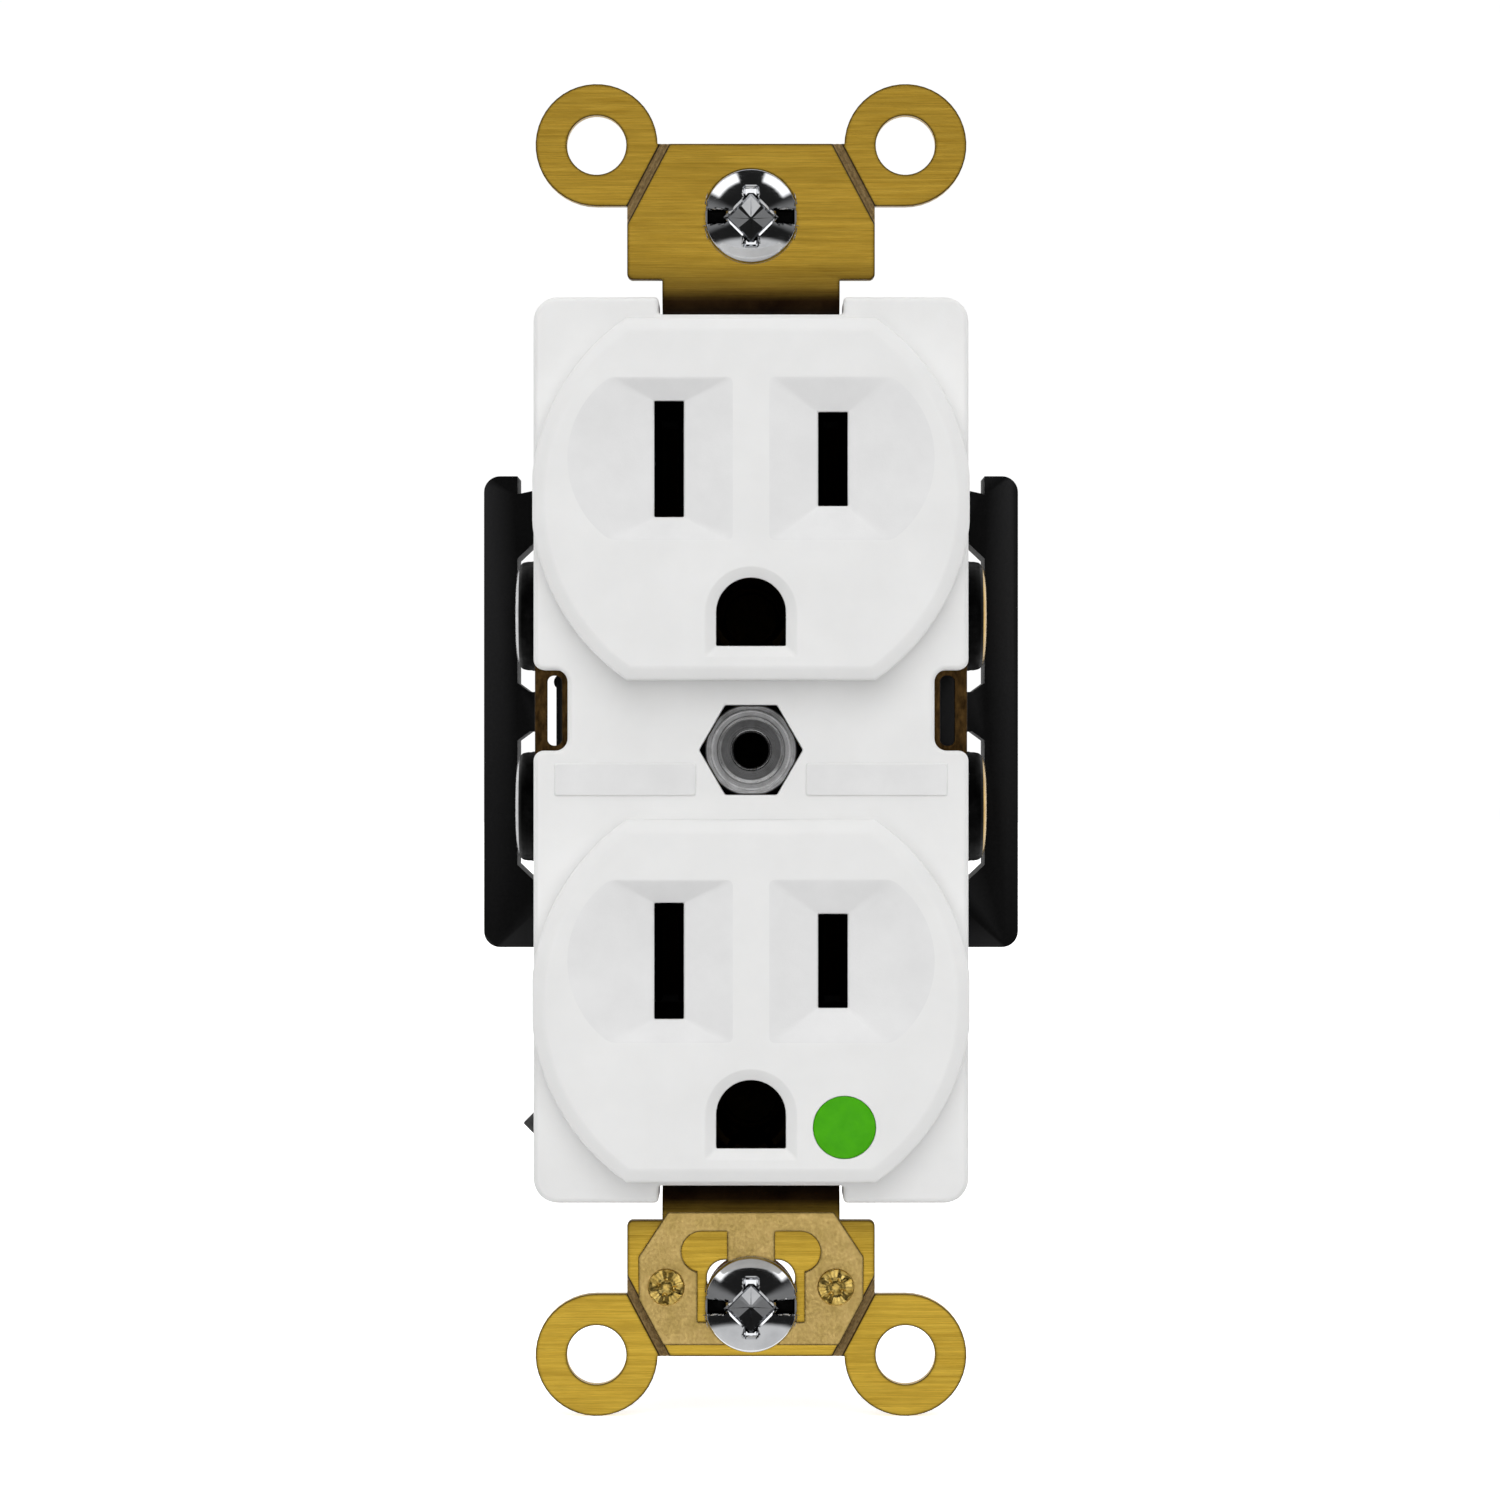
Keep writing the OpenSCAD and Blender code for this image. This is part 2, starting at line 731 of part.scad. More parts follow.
module terminal_screw(side, level) {
    head = terminal_outer + gap;
    at_terminal(side, level) difference() {
        union() {
            rod_x(pocket_floor + 0.15, head + 0.1, terminal_screw_radius);
            rod_x(head, head + terminal_head_thick, terminal_head_radius);
        }
        box([head + 0.8, -0.55, -over - terminal_head_radius],
            [head + 3, 0.55, over + terminal_head_radius]);
        box([head + 0.8, -2.2, -0.55], [head + 3, 2.2, 0.55]);
    }
}

module terminal_clamp(side, level) {
    at_terminal(side, level) difference() {
        box([clamp_outer - clamp_thick, -clamp_size[0] / 2, -clamp_size[1] / 2],
            [clamp_outer, clamp_size[0] / 2, clamp_size[1] / 2]);
        rod_x(clamp_outer - clamp_thick - over, clamp_outer + over, terminal_screw_radius + turning_gap);
        for (s = [-1, 1]) translate([clamp_outer + 0.6, 0, s * 3.1]) rotate([90, 0, 0])
            cylinder(h = clamp_size[0] + over, r = 1.1, center = true);
    }
}

module neutral_screw_upper() {
    color("silver") terminal_screw(-1, 1);
}

module neutral_screw_lower() {
    color("silver") terminal_screw(-1, -1);
}

module line_screw_upper() {
    color("gold") terminal_screw(1, 1);
}

module line_screw_lower() {
    color("gold") terminal_screw(1, -1);
}

module neutral_clamp_upper() {
    color("dimgray") terminal_clamp(-1, 1);
}

module neutral_clamp_lower() {
    color("dimgray") terminal_clamp(-1, -1);
}

module line_clamp_upper() {
    color("dimgray") terminal_clamp(1, 1);
}

module line_clamp_lower() {
    color("dimgray") terminal_clamp(1, -1);
}

module ground_screw() {
    head = strap_back + gap;
    color("green") at_xz(ground_terminal) difference() {
        union() {
            rod_y(corner_cut_front + 0.4, head + 0.1, terminal_screw_radius);
            rotate([0, 30, 0]) hex_rod_y(head, head + ground_head_thick, ground_head_flats);
        }
        box([-5, head + 1.3, -0.55], [5, head + 4, 0.55]);
    }
}

module ground_clamp_plate() {
    color("dimgray") at_xz(ground_terminal) difference() {
        rotate([0, 45, 0]) box([-ground_clamp_half, ground_clamp_back - clamp_thick, -ground_clamp_half],
                               [ground_clamp_half, ground_clamp_back, ground_clamp_half]);
        rod_y(ground_clamp_back - 3, ground_clamp_back + over, terminal_screw_radius + turning_gap);
    }
}

// ---------- box screws ----------

module mounting_screw(seat) {
    rim = 0.8;
    dome = 1.3;
    sphere_radius = (box_head_radius * box_head_radius + dome * dome) / (2 * dome);
    color("silver") difference() {
        union() {
            rod_y(seat - 0.1, washer_back + 0.2, box_neck_radius);
            rod_y(washer_back + 0.1, seat + box_screw_length, box_screw_radius);
            rod_y(seat - rim, seat, box_head_radius);
            intersection() {
                rod_y(seat - rim - dome, seat - rim + 0.1, box_head_radius);
                translate([0, seat - rim - dome + sphere_radius, 0]) sphere(sphere_radius);
            }
        }
        box([-5, seat - 4, -0.48], [5, seat - 1, 0.48]);
        rotate([0, 45, 0]) box([-1.38, seat - 4, -1.38], [1.38, seat - 0.7, 1.38]);
        box([-0.57, seat - 4, -2.35], [0.57, seat - 1, 2.35]);
    }
}

module top_mounting_screw() {
    translate([0, 0, top_screw_rise]) mounting_screw(-strap_thick - gap);
}

module bottom_mounting_screw() {
    translate([0, 0, -bottom_screw_drop]) mounting_screw(-strap_thick - clip_thick - gap);
}

// A fibre washer that keeps a box screw in the strap.
module screw_washer() {
    color("tan") difference() {
        rod_y(washer_back - 0.8, washer_back, washer_radius);
        rod_y(washer_back - 2, washer_back + over, box_neck_radius + turning_gap);
    }
}

module top_screw_washer() {
    translate([0, 0, top_screw_rise]) screw_washer();
}

module bottom_screw_washer() {
    translate([0, 0, -bottom_screw_drop]) screw_washer();
}

face_cover();
hospital_grade_dot();
back_body();
mounting_strap();
self_ground_clip();
clip_rivets();
plate_screw_post();
neutral_contacts();
line_contacts();
upper_ground_contact();
lower_ground_contact();
ground_contact_rivets();
body_screws();
neutral_screw_upper();
neutral_screw_lower();
line_screw_upper();
line_screw_lower();
neutral_clamp_upper();
neutral_clamp_lower();
line_clamp_upper();
line_clamp_lower();
ground_screw();
ground_clamp_plate();
top_mounting_screw();
bottom_mounting_screw();
top_screw_washer();
bottom_screw_washer();
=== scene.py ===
import math

import bmesh
import bpy
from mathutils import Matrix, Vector

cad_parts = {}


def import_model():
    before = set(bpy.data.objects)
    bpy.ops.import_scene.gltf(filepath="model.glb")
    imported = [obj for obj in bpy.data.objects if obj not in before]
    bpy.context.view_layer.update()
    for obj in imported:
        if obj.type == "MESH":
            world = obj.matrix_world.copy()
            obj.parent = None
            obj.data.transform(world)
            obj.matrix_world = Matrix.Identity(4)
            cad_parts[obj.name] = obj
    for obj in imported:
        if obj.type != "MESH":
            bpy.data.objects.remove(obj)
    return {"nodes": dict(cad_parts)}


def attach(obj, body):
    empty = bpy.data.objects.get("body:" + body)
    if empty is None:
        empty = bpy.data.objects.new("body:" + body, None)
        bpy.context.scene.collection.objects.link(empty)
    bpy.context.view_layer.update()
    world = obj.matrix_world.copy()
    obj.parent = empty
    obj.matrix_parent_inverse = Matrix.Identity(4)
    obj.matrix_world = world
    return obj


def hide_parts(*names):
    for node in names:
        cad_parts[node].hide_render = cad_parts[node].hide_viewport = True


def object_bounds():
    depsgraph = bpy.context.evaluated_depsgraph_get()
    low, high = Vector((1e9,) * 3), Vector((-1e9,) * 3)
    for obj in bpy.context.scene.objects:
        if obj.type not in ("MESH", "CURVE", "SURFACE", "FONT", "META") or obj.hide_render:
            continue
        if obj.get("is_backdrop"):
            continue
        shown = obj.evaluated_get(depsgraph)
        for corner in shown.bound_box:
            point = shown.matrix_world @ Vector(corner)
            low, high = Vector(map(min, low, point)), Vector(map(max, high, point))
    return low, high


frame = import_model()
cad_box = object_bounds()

MM = 0.001
BODY = "outlet"
nodes = frame["nodes"]
scene = bpy.context.scene


# ---------- measures, in millimetres, as in the CAD ----------

HALF_COVER = 16.95
HALF_LENGTH = 35.3
COVER_BACK = 3.8
FLANGE = -4.2
FACE = -7.6
FACE_R = 17.05
FACE_HALF = 14.05
FACE_Z = 19.45
BLADE_X = 6.35
BLADE_RISE = 3.1
GROUND_DROP = 11.9
TERMINAL_Z = 3.1
SLOT_HALF = 1.15
NEUTRAL_SLOT, LINE_SLOT = 9.0, 7.3
RECESS_R = 7.7
RECESS_HALF = 6.25
RECESS_REACH = 4.5
RECESS_INNER = 1.5
RECESS_DEPTH = 1.0
GROUND_R, GROUND_FLAT = 2.7, 2.6
GROUND_LEAD, GROUND_LEAD_DEPTH = 0.85, 0.4
SLOT_BACK = -4.9
WALL, SKIN = 1.8, 2.0
NOTCH_INNER, NOTCH_HALF = 14.3, 3.15
END_NOTCH_HALF, END_NOTCH_DEPTH = 7.2, 1.35
PLAQUE_X, PLAQUE_Z = 9.8, -2.3
PLAQUE_WIDTH, PLAQUE_HEIGHT, PLAQUE_RISE = 11.1, 2.6, 0.15
DOT_X, DOT_Z, DOT_R, DOT_DEPTH = 7.23, -29.2, 2.45, 0.4
POCKET_FLATS, POST_FLATS = 7.0, 6.8
BODY_BACK = 22.95
SCREW_PITCH = 0.794
BOX_SCREW_R, BOX_MINOR_R, BOX_SHANK_R = 1.74, 1.42, 1.48
TOP_SCREW_Z, TOP_SCREW_SEAT = 41.7, -1.35
BOTTOM_SCREW_Z, BOTTOM_SCREW_SEAT = -43.5, -1.75
TERMINAL_SCREW_R, TERMINAL_MINOR_R = 2.07, 1.66
TERMINAL_Y, TERMINAL_STEP, TERMINAL_HEAD_X = 8.5, 7.6, 16.1
GROUND_SCREW_X, GROUND_SCREW_Z, GROUND_SCREW_SEAT = -14.1, -30.6, 24.35
CLIP_RIVET_X, CLIP_RIVET_Z, CLIP_FRONT = 6.64, -42.05, -1.7


# ---------- mesh helpers (all meshes are built in millimetres) ----------

def to_object(name, bm):
    mesh = bpy.data.meshes.new(name)
    bmesh.ops.recalc_face_normals(bm, faces=bm.faces)
    bm.to_mesh(mesh)
    bm.free()
    obj = bpy.data.objects.new(name, mesh)
    scene.collection.objects.link(obj)
    return obj


def loft(rings, bm=None):
    """A closed solid through rings of equal length, capped at both ends."""
    bm = bm or bmesh.new()
    rows = [[bm.verts.new(p) for p in ring] for ring in rings]
    count = len(rows[0])
    for low, high in zip(rows, rows[1:]):
        for i in range(count):
            j = (i + 1) % count
            bm.faces.new((low[i], low[j], high[j], high[i]))
    bm.faces.new(rows[0][::-1])
    bm.faces.new(rows[-1])
    return bm


def boolean(base, tool, operation):
    modifier = base.modifiers.new("combine", "BOOLEAN")
    modifier.operation = operation
    modifier.solver = "EXACT"
    modifier.object = tool
    graph = bpy.context.evaluated_depsgraph_get()
    mesh = bpy.data.meshes.new_from_object(base.evaluated_get(graph))
    base.modifiers.clear()
    base.data = mesh
    bpy.data.objects.remove(tool)


def tidy(obj, merge=0.0005, flat=0.2):
    bm = bmesh.new()
    bm.from_mesh(obj.data)
    bmesh.ops.remove_doubles(bm, verts=bm.verts, dist=merge)
    bmesh.ops.dissolve_limit(bm, angle_limit=math.radians(flat), verts=bm.verts, edges=bm.edges)
    bm.to_mesh(obj.data)
    bm.free()


def shade(obj, angle):
    obj.data.shade_smooth()
    obj.data.set_sharp_from_angle(angle=math.radians(angle))
    weighted = obj.modifiers.new("normals", "WEIGHTED_NORMAL")
    weighted.keep_sharp = True


def place(obj, materials, body, node, slot, angle=32):
    """Turns millimetres to metres, shades the piece, and has it stand for a CAD node."""
    for vertex in obj.data.vertices:
        vertex.co = vertex.co * MM
    obj.data.materials.clear()
    for material in materials:
        obj.data.materials.append(material)
    shade(obj, angle)
    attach(obj, body)
    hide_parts(node)


def side_through(points):
    """A function that gives the point at share u of a polyline's length, and that length."""
    steps = [math.dist(a, b) for a, b in zip(points, points[1:])]
    total = sum(steps)

    def at(u):
        rest = u * total
        for (a, b), step in zip(zip(points, points[1:]), steps):
            if rest <= step or b is points[-1]:
                share = rest / step
                return tuple(p + (q - p) * share for p, q in zip(a, b))
            rest -= step
    return at, total


def soft_ring(sides, radius, corner=5, counts=None):
    """Points round an outline of polylines, with every corner rounded."""
    made = [side_through(side) for side in sides]
    ring = []
    for index, (at, total) in enumerate(made):
        cut = min(0.45, radius / total)
        count = counts[index] if counts else 2
        for k in range(count):
            ring.append(at(cut + (1 - 2 * cut) * k / (count - 1)))
        after, length = made[(index + 1) % len(made)]
        start, tip, end = at(1 - cut), at(1), after(min(0.45, radius / length))
        for k in range(1, corner):
            s = k / corner
            ring.append(tuple((1 - s) ** 2 * a + 2 * s * (1 - s) * b + s * s * c
                              for a, b, c in zip(start, tip, end)))
    return ring


def arc(cx, cz, r, start, stop, count):
    return [(cx + r * math.cos(math.radians(start + (stop - start) * k / (count - 1))),
             cz + r * math.sin(math.radians(start + (stop - start) * k / (count - 1))))
            for k in range(count)]


def at_y(ring, y, cx=0.0, cz=0.0):
    return [(cx + x, y, cz + z) for x, z in ring]


def turned(profile, centre, segments=64, axis="Y", direction=1):
    """A solid of revolution: profile is (radius, distance along the axis)."""
    rings = []
    for radius, along in profile:
        ring = []
        for k in range(segments):
            a = math.tau * k / segments
            c, s = radius * math.cos(a), radius * math.sin(a)
            if axis == "Y":
                ring.append((centre[0] + c, centre[1] + direction * along, centre[2] + s))
            else:
                ring.append((centre[0] + direction * along, centre[1] + c, centre[2] + s))
        rings.append(ring)
    return loft(rings)


# ---------- materials ----------

class Surface:
    """Builds one procedural material."""

    def __init__(self, name):
        self.material = bpy.data.materials.new(name)
        self.material.use_nodes = True
        self.tree = self.material.node_tree
        self.shader = self.tree.nodes["Principled BSDF"]
        self.coordinates = self.node("ShaderNodeTexCoord")
        self.normal = None

    def node(self, kind, **settings):
        made = self.tree.nodes.new(kind)
        for key, value in settings.items():
            setattr(made, key, value)
        return made

    def link(self, source, target):
        self.tree.links.new(source, target)

    def fixed(self, **values):
        names = {"metallic": "Metallic", "anisotropic": "Anisotropic",
                 "specular": "Specular IOR Level", "subsurface": "Subsurface Weight"}
        for key, value in values.items():
            self.shader.inputs[names[key]].default_value = value
        return self

    def grain(self, scale, detail=3.0, roughness=0.6):
        """Noise with its own scale along X, Y and Z, in repeats per metre."""
        mapping = self.node("ShaderNodeMapping")
        self.link(self.coordinates.outputs["Object"], mapping.inputs["Vector"])
        mapping.inputs["Scale"].default_value = scale if isinstance(scale, tuple) else (scale,) * 3
        noise = self.node("ShaderNodeTexNoise")
        noise.inputs["Scale"].default_value = 1.0
        noise.inputs["Detail"].default_value = detail
        noise.inputs["Roughness"].default_value = roughness
        self.link(mapping.outputs["Vector"], noise.inputs["Vector"])
        return noise.outputs["Fac"]

    def from_axis(self):
        """Distance from the Y axis."""
        flatten = self.node("ShaderNodeVectorMath", operation="MULTIPLY")
        self.link(self.coordinates.outputs["Object"], flatten.inputs[0])
        flatten.inputs[1].default_value = (1, 0, 1)
        length = self.node("ShaderNodeVectorMath", operation="LENGTH")
        self.link(flatten.outputs[0], length.inputs[0])
        return length.outputs["Value"]

    def rings(self, scale):
        """Noise that depends only on the distance from the Y axis, for turned faces."""
        noise = self.node("ShaderNodeTexNoise", noise_dimensions="1D")
        noise.inputs["Scale"].default_value = scale
        noise.inputs["Detail"].default_value = 2.0
        self.link(self.from_axis(), noise.inputs["W"])
        return noise.outputs["Fac"]

    def ramp(self, source, stops):
        """A grey that follows stops of (position, brightness)."""
        ramp = self.node("ShaderNodeValToRGB")
        elements = ramp.color_ramp.elements
        while len(elements) < len(stops):
            elements.new(0.5)
        for element, (position, value) in zip(elements, stops):
            element.position = position
            element.color = (value, value, value, 1)
        self.link(source, ramp.inputs["Fac"])
        return ramp.outputs["Color"]

    def mix(self, factor, a, b, blend="MIX"):
        mix = self.node("ShaderNodeMix", data_type="RGBA", blend_type=blend)
        for value, slot in ((factor, 0), (a, 6), (b, 7)):
            if isinstance(value, bpy.types.NodeSocket):
                self.link(value, mix.inputs[slot])
            elif slot == 0:
                mix.inputs[slot].default_value = value
            else:
                mix.inputs[slot].default_value = (*value, 1)
        return mix.outputs[2]

    def spread(self, source, low, high, start=0.3, stop=0.7):
        """source between start and stop, spread out between low and high."""
        spread = self.node("ShaderNodeMapRange")
        self.link(source, spread.inputs["Value"])
        for key, value in (("From Min", start), ("From Max", stop), ("To Min", low), ("To Max", high)):
            spread.inputs[key].default_value = value
        return spread.outputs["Result"]

    def along(self, axis):
        split = self.node("ShaderNodeSeparateXYZ")
        self.link(self.coordinates.outputs["Object"], split.inputs["Vector"])
        return split.outputs[axis]

    def score_distance(self):
        """Distance from the middle of the score line between the plate and the nearest ear."""
        absolute = self.node("ShaderNodeVectorMath", operation="ABSOLUTE")
        self.link(self.coordinates.outputs["Object"], absolute.inputs[0])
        shift = self.node("ShaderNodeVectorMath", operation="SUBTRACT")
        self.link(absolute.outputs[0], shift.inputs[0])
        shift.inputs[1].default_value = (0.00675, 0, 0.0475)  # where the line meets the plate's end
        across = self.node("ShaderNodeVectorMath", operation="DOT_PRODUCT")
        self.link(shift.outputs[0], across.inputs[0])
        across.inputs[1].default_value = (0.8844, 0, 0.4667)  # at right angles to the line
        distance = self.node("ShaderNodeMath", operation="ABSOLUTE")
        self.link(across.outputs["Value"], distance.inputs[0])
        return distance.outputs[0]

    def edges(self, low, high):
        """1 on convex edges, where wear shows, 0 on flat faces."""
        geometry = self.node("ShaderNodeNewGeometry")
        return self.spread(geometry.outputs["Pointiness"], 0, 1, low, high)

    def rim(self, radius):
        """1 on a sharp edge, 0 beyond radius millimetres from it."""
        rounded = self.node("ShaderNodeBevel", samples=8)
        rounded.inputs["Radius"].default_value = radius * MM
        facing = self.node("ShaderNodeVectorMath", operation="DOT_PRODUCT")
        self.link(rounded.outputs["Normal"], facing.inputs[0])
        self.link(self.node("ShaderNodeNewGeometry").outputs["Normal"], facing.inputs[1])
        return self.spread(facing.outputs["Value"], 1, 0, 0.80, 0.985)

    def colour(self, source):
        self.link(source, self.shader.inputs["Base Color"])
        return self

    def roughness(self, source):
        self.link(source, self.shader.inputs["Roughness"])
        return self

    def bump(self, source, strength, depth):
        """Adds relief: depth is in millimetres."""
        bump = self.node("ShaderNodeBump")
        bump.inputs["Strength"].default_value = strength
        bump.inputs["Distance"].default_value = depth * MM
        self.link(source, bump.inputs["Height"])
        if self.normal:
            self.link(self.normal, bump.inputs["Normal"])
        self.normal = bump.outputs["Normal"]
        self.link(self.normal, self.shader.inputs["Normal"])
        return self


def white_nylon():
    s = Surface("white_nylon").fixed(specular=0.4, subsurface=0.03)
    s.shader.inputs["Subsurface Radius"].default_value = (0.0006, 0.0005, 0.0004)
    s.shader.inputs["Subsurface Scale"].default_value = 1.0
    cloud = s.grain(140, detail=4)
    fine = s.grain(5200, detail=2)
    s.colour(s.mix(s.spread(cloud, 0, 1), (0.80, 0.80, 0.795), (0.845, 0.845, 0.84)))
    s.roughness(s.spread(fine, 0.34, 0.52))
    s.bump(fine, 0.35, 0.012)
    s.bump(s.grain(420, detail=2), 0.25, 0.02)
    return s.material


def matte_shaded_nylon():
    """The face of the recesses and plaques, with a fine rough grain. Its base colour, darker than the white
    nylon, is painted shade in the recesses; the plaques share it.
    """
    s = Surface("matte_shaded_nylon").fixed(specular=0.25)
    fine = s.grain(6500, detail=3)
    cloud = s.grain(260, detail=4)
    # painted shade: base colour darker than the white nylon, standing in for the shade in the recesses
    s.colour(s.mix(s.spread(cloud, 0, 1), (0.765, 0.765, 0.765), (0.815, 0.815, 0.815)))
    s.roughness(s.spread(fine, 0.6, 0.8))
    s.bump(fine, 0.5, 0.016)
    return s.material


def painted_slot_shade():
    # painted shade: a near-black colour for the insides of slots, holes and the cover, which lie in shade
    s = Surface("slot_painted_shade").fixed(specular=0.1)
    s.colour(s.mix(s.spread(s.grain(900), 0, 1), (0.004, 0.004, 0.004), (0.009, 0.009, 0.009)))
    s.roughness(s.spread(s.grain(2600), 0.7, 0.95))
    s.bump(s.grain(3000), 0.3, 0.01)
    return s.material


def black_nylon():
    s = Surface("black_nylon").fixed(specular=0.10)
    fine = s.grain(4200, detail=3)
    cloud = s.grain(160, detail=4)
    base = s.mix(s.spread(cloud, 0, 1), (0.0020, 0.0020, 0.0021), (0.0045, 0.0045, 0.0047))
    s.colour(s.mix(s.edges(0.53, 0.68), base, (0.024, 0.024, 0.025)))
    s.roughness(s.spread(fine, 0.48, 0.68))
    s.bump(fine, 0.45, 0.02)
    s.bump(s.grain(350, detail=2), 0.3, 0.03)
    return s.material


def green_inlay():
    s = Surface("green_mark").fixed(specular=0.15)
    fine = s.grain(5200, detail=2)
    s.colour(s.mix(s.spread(s.grain(900, detail=4), 0, 1), (0.050, 0.36, 0.0), (0.068, 0.43, 0.001)))
    s.roughness(s.spread(fine, 0.38, 0.55))
    s.bump(fine, 0.35, 0.012)
    return s.material


def scored(s, brass):
    """Lays a score line over the brass: a dull brown band with a dark line of painted shade along each
    side.
    """
    distance = s.score_distance()
    brown = s.mix(s.spread(s.grain(3800), 0, 1), (0.17, 0.11, 0.045), (0.36, 0.25, 0.11))
    # painted shade: dark lines along both sides of the groove
    lined = s.mix(s.spread(distance, 0, 1, 0.00028, 0.00033), brown, (0.02, 0.012, 0.004))
    s.link(s.spread(distance, 0.1, 1, 0.00038, 0.00044), s.shader.inputs["Metallic"])
    return s.mix(s.spread(distance, 1, 0, 0.00038, 0.00044), brass, lined)


def brushed_brass():
    s = Surface("brushed_brass").fixed(metallic=1.0, anisotropic=0.3)
    lines = s.grain((230, 1500, 12000), detail=4, roughness=0.75)
    long_lines = s.grain((70, 400, 4200), detail=3, roughness=0.6)
    patches = s.grain((160, 240, 500), detail=3)
    light = s.mix(s.spread(lines, 0, 1, 0.28, 0.66), (0.435, 0.255, 0.02), (1.0, 0.685, 0.10))
    tone = s.mix(s.spread(long_lines, 0, 1), (0.70, 0.68, 0.60), (1.0, 1.0, 1.0))
    brushed = s.mix(1.0, light, tone, "MULTIPLY")
    # painted shade: the brass is made darker towards the top, which gets less light from below
    top_shade = s.mix(s.spread(s.along("Z"), 0, 1, -0.045, 0.02), (1.0, 1.0, 1.0), (0.91, 0.87, 0.88))
    brushed = s.mix(1.0, brushed, top_shade, "MULTIPLY")
    brushed = s.mix(s.spread(patches, 0.0, 0.30, 0.48, 0.75), brushed, (0.30, 0.18, 0.02))
    # painted shade: the brass is painted dark brown near and inside its bends and behind the front plate,
    # where it faces away from the light
    high = s.node("ShaderNodeMath", operation="ABSOLUTE")
    s.link(s.along("Z"), high.inputs[0])
    near_bend = s.spread(high.outputs[0], 1, 0, 0.0352, 0.0386)
    behind = s.spread(s.along("Y"), 0, 0.8, 0.0, 0.002)
    bend = s.node("ShaderNodeMath", operation="MAXIMUM")
    s.link(near_bend, bend.inputs[0])
    s.link(behind, bend.inputs[1])
    shade_tone = s.mix(s.spread(s.grain(420, detail=5), 0, 1), (0.018, 0.008, 0.004), (0.045, 0.024, 0.009))
    # towards the back the painted dark brown turns into a dimmer brass tone
    back = s.spread(s.along("Y"), 0, 1, 0.006, 0.022)
    shade_tone = s.mix(back, shade_tone, s.mix(s.spread(long_lines, 0, 1), (0.30, 0.18, 0.03), (0.52, 0.34, 0.07)))
    shaded_brass = s.mix(bend.outputs[0], brushed, shade_tone)
    # painted shade: a dark line along the sheet's sharp edges
    edge_shaded = s.mix(s.rim(0.5), shaded_brass, (0.025, 0.013, 0.004))
    s.colour(scored(s, edge_shaded))
    s.roughness(s.spread(lines, 0.28, 0.46))
    s.bump(lines, 0.55, 0.012)
    s.bump(long_lines, 0.35, 0.012)
    return s.material


def metal(name, dark, light, rough, scale=900, grain_depth=0.01, grain=3000, wear=None, rim=None):
    """A mottled metal, with wear on its convex edges, or a dark rim of painted shade along its sharp edges,
    where they are given.
    """
    s = Surface(name).fixed(metallic=1.0)
    cloud = s.grain(scale, detail=4)
    fine = s.grain(grain, detail=3)
    base = s.mix(s.spread(cloud, 0, 1), dark, light)
    if wear:
        base = s.mix(s.edges(0.52, 0.62), base, wear)
    if rim:
        # painted shade: darkens the sharp edges
        base = s.mix(s.rim(0.38), base, rim)
    s.colour(base)
    s.roughness(s.spread(fine, *rough))
    s.bump(fine, 0.4, grain_depth)
    return s


def contact_brass():
    """Stamped brass in painted shade: dark brown on the fins and terminal plates, and near black inside the
    body.
    """
    s = Surface("contact_brass").fixed(metallic=1.0)
    drawn = s.grain((3200, 900, 1100), detail=4)
    fine = s.grain(2600, detail=3)
    out = s.node("ShaderNodeMath", operation="ABSOLUTE")
    s.link(s.along("X"), out.inputs[0])
    # painted shade: a dark brown copy of the brass, for parts that lie in shade
    base = s.mix(s.spread(drawn, 0, 1), (0.034, 0.018, 0.006), (0.115, 0.064, 0.020))
    # painted shade: near black inside the body
    s.colour(s.mix(s.spread(out.outputs[0], 0, 1, 0.0115, 0.0135), (0.002, 0.0012, 0.0006), base))
    s.roughness(s.spread(fine, 0.35, 0.6))
    s.bump(drawn, 0.4, 0.015)
    return s.material


def chrome():
    s = Surface("chrome").fixed(metallic=1.0)
    scratches = s.grain((1400, 500, 9000), detail=3)
    s.colour(s.mix(s.spread(s.grain(500), 0, 1), (0.66, 0.67, 0.69), (0.80, 0.81, 0.83)))
    s.roughness(s.spread(scratches, 0.05, 0.13))
    s.bump(scratches, 0.12, 0.004)
    return s.material


def turned_steel():
    """Turned, with painted highlights on the bevel and ring edges, painted shade beyond the bevel, and a
    darker face on the collar.
    """
    s = Surface("turned_steel").fixed(metallic=1.0, anisotropic=0.3)
    reach = s.spread(s.from_axis(), 0, 1, 0, 0.0045)
    # painted highlights and shade: brightness set by distance from the axis, bright on the bore rim, collar
    # edge and bevel, black beyond the bevel
    tone = s.ramp(reach, [(0.325, 0.2), (0.345, 0.8), (0.362, 0.15), (0.515, 0.13), (0.53, 1.0),
                          (0.57, 1.0), (0.585, 0.36), (0.66, 0.42), (0.69, 1.0), (0.765, 1.0),
                          (0.79, 0.03)])
    rings = s.rings(9000)
    grime = s.grain(1700, detail=5)
    base = s.mix(s.spread(rings, 0, 1), (0.52, 0.52, 0.53), (0.90, 0.90, 0.91))
    base = s.mix(s.spread(grime, 0, 0.5, 0.45, 0.75), base, (0.34, 0.33, 0.32))
    s.colour(s.mix(1.0, base, tone, "MULTIPLY"))
    s.roughness(s.spread(rings, 0.24, 0.42))
    s.bump(rings, 0.5, 0.012)
    s.bump(grime, 0.3, 0.012)
    return s.material


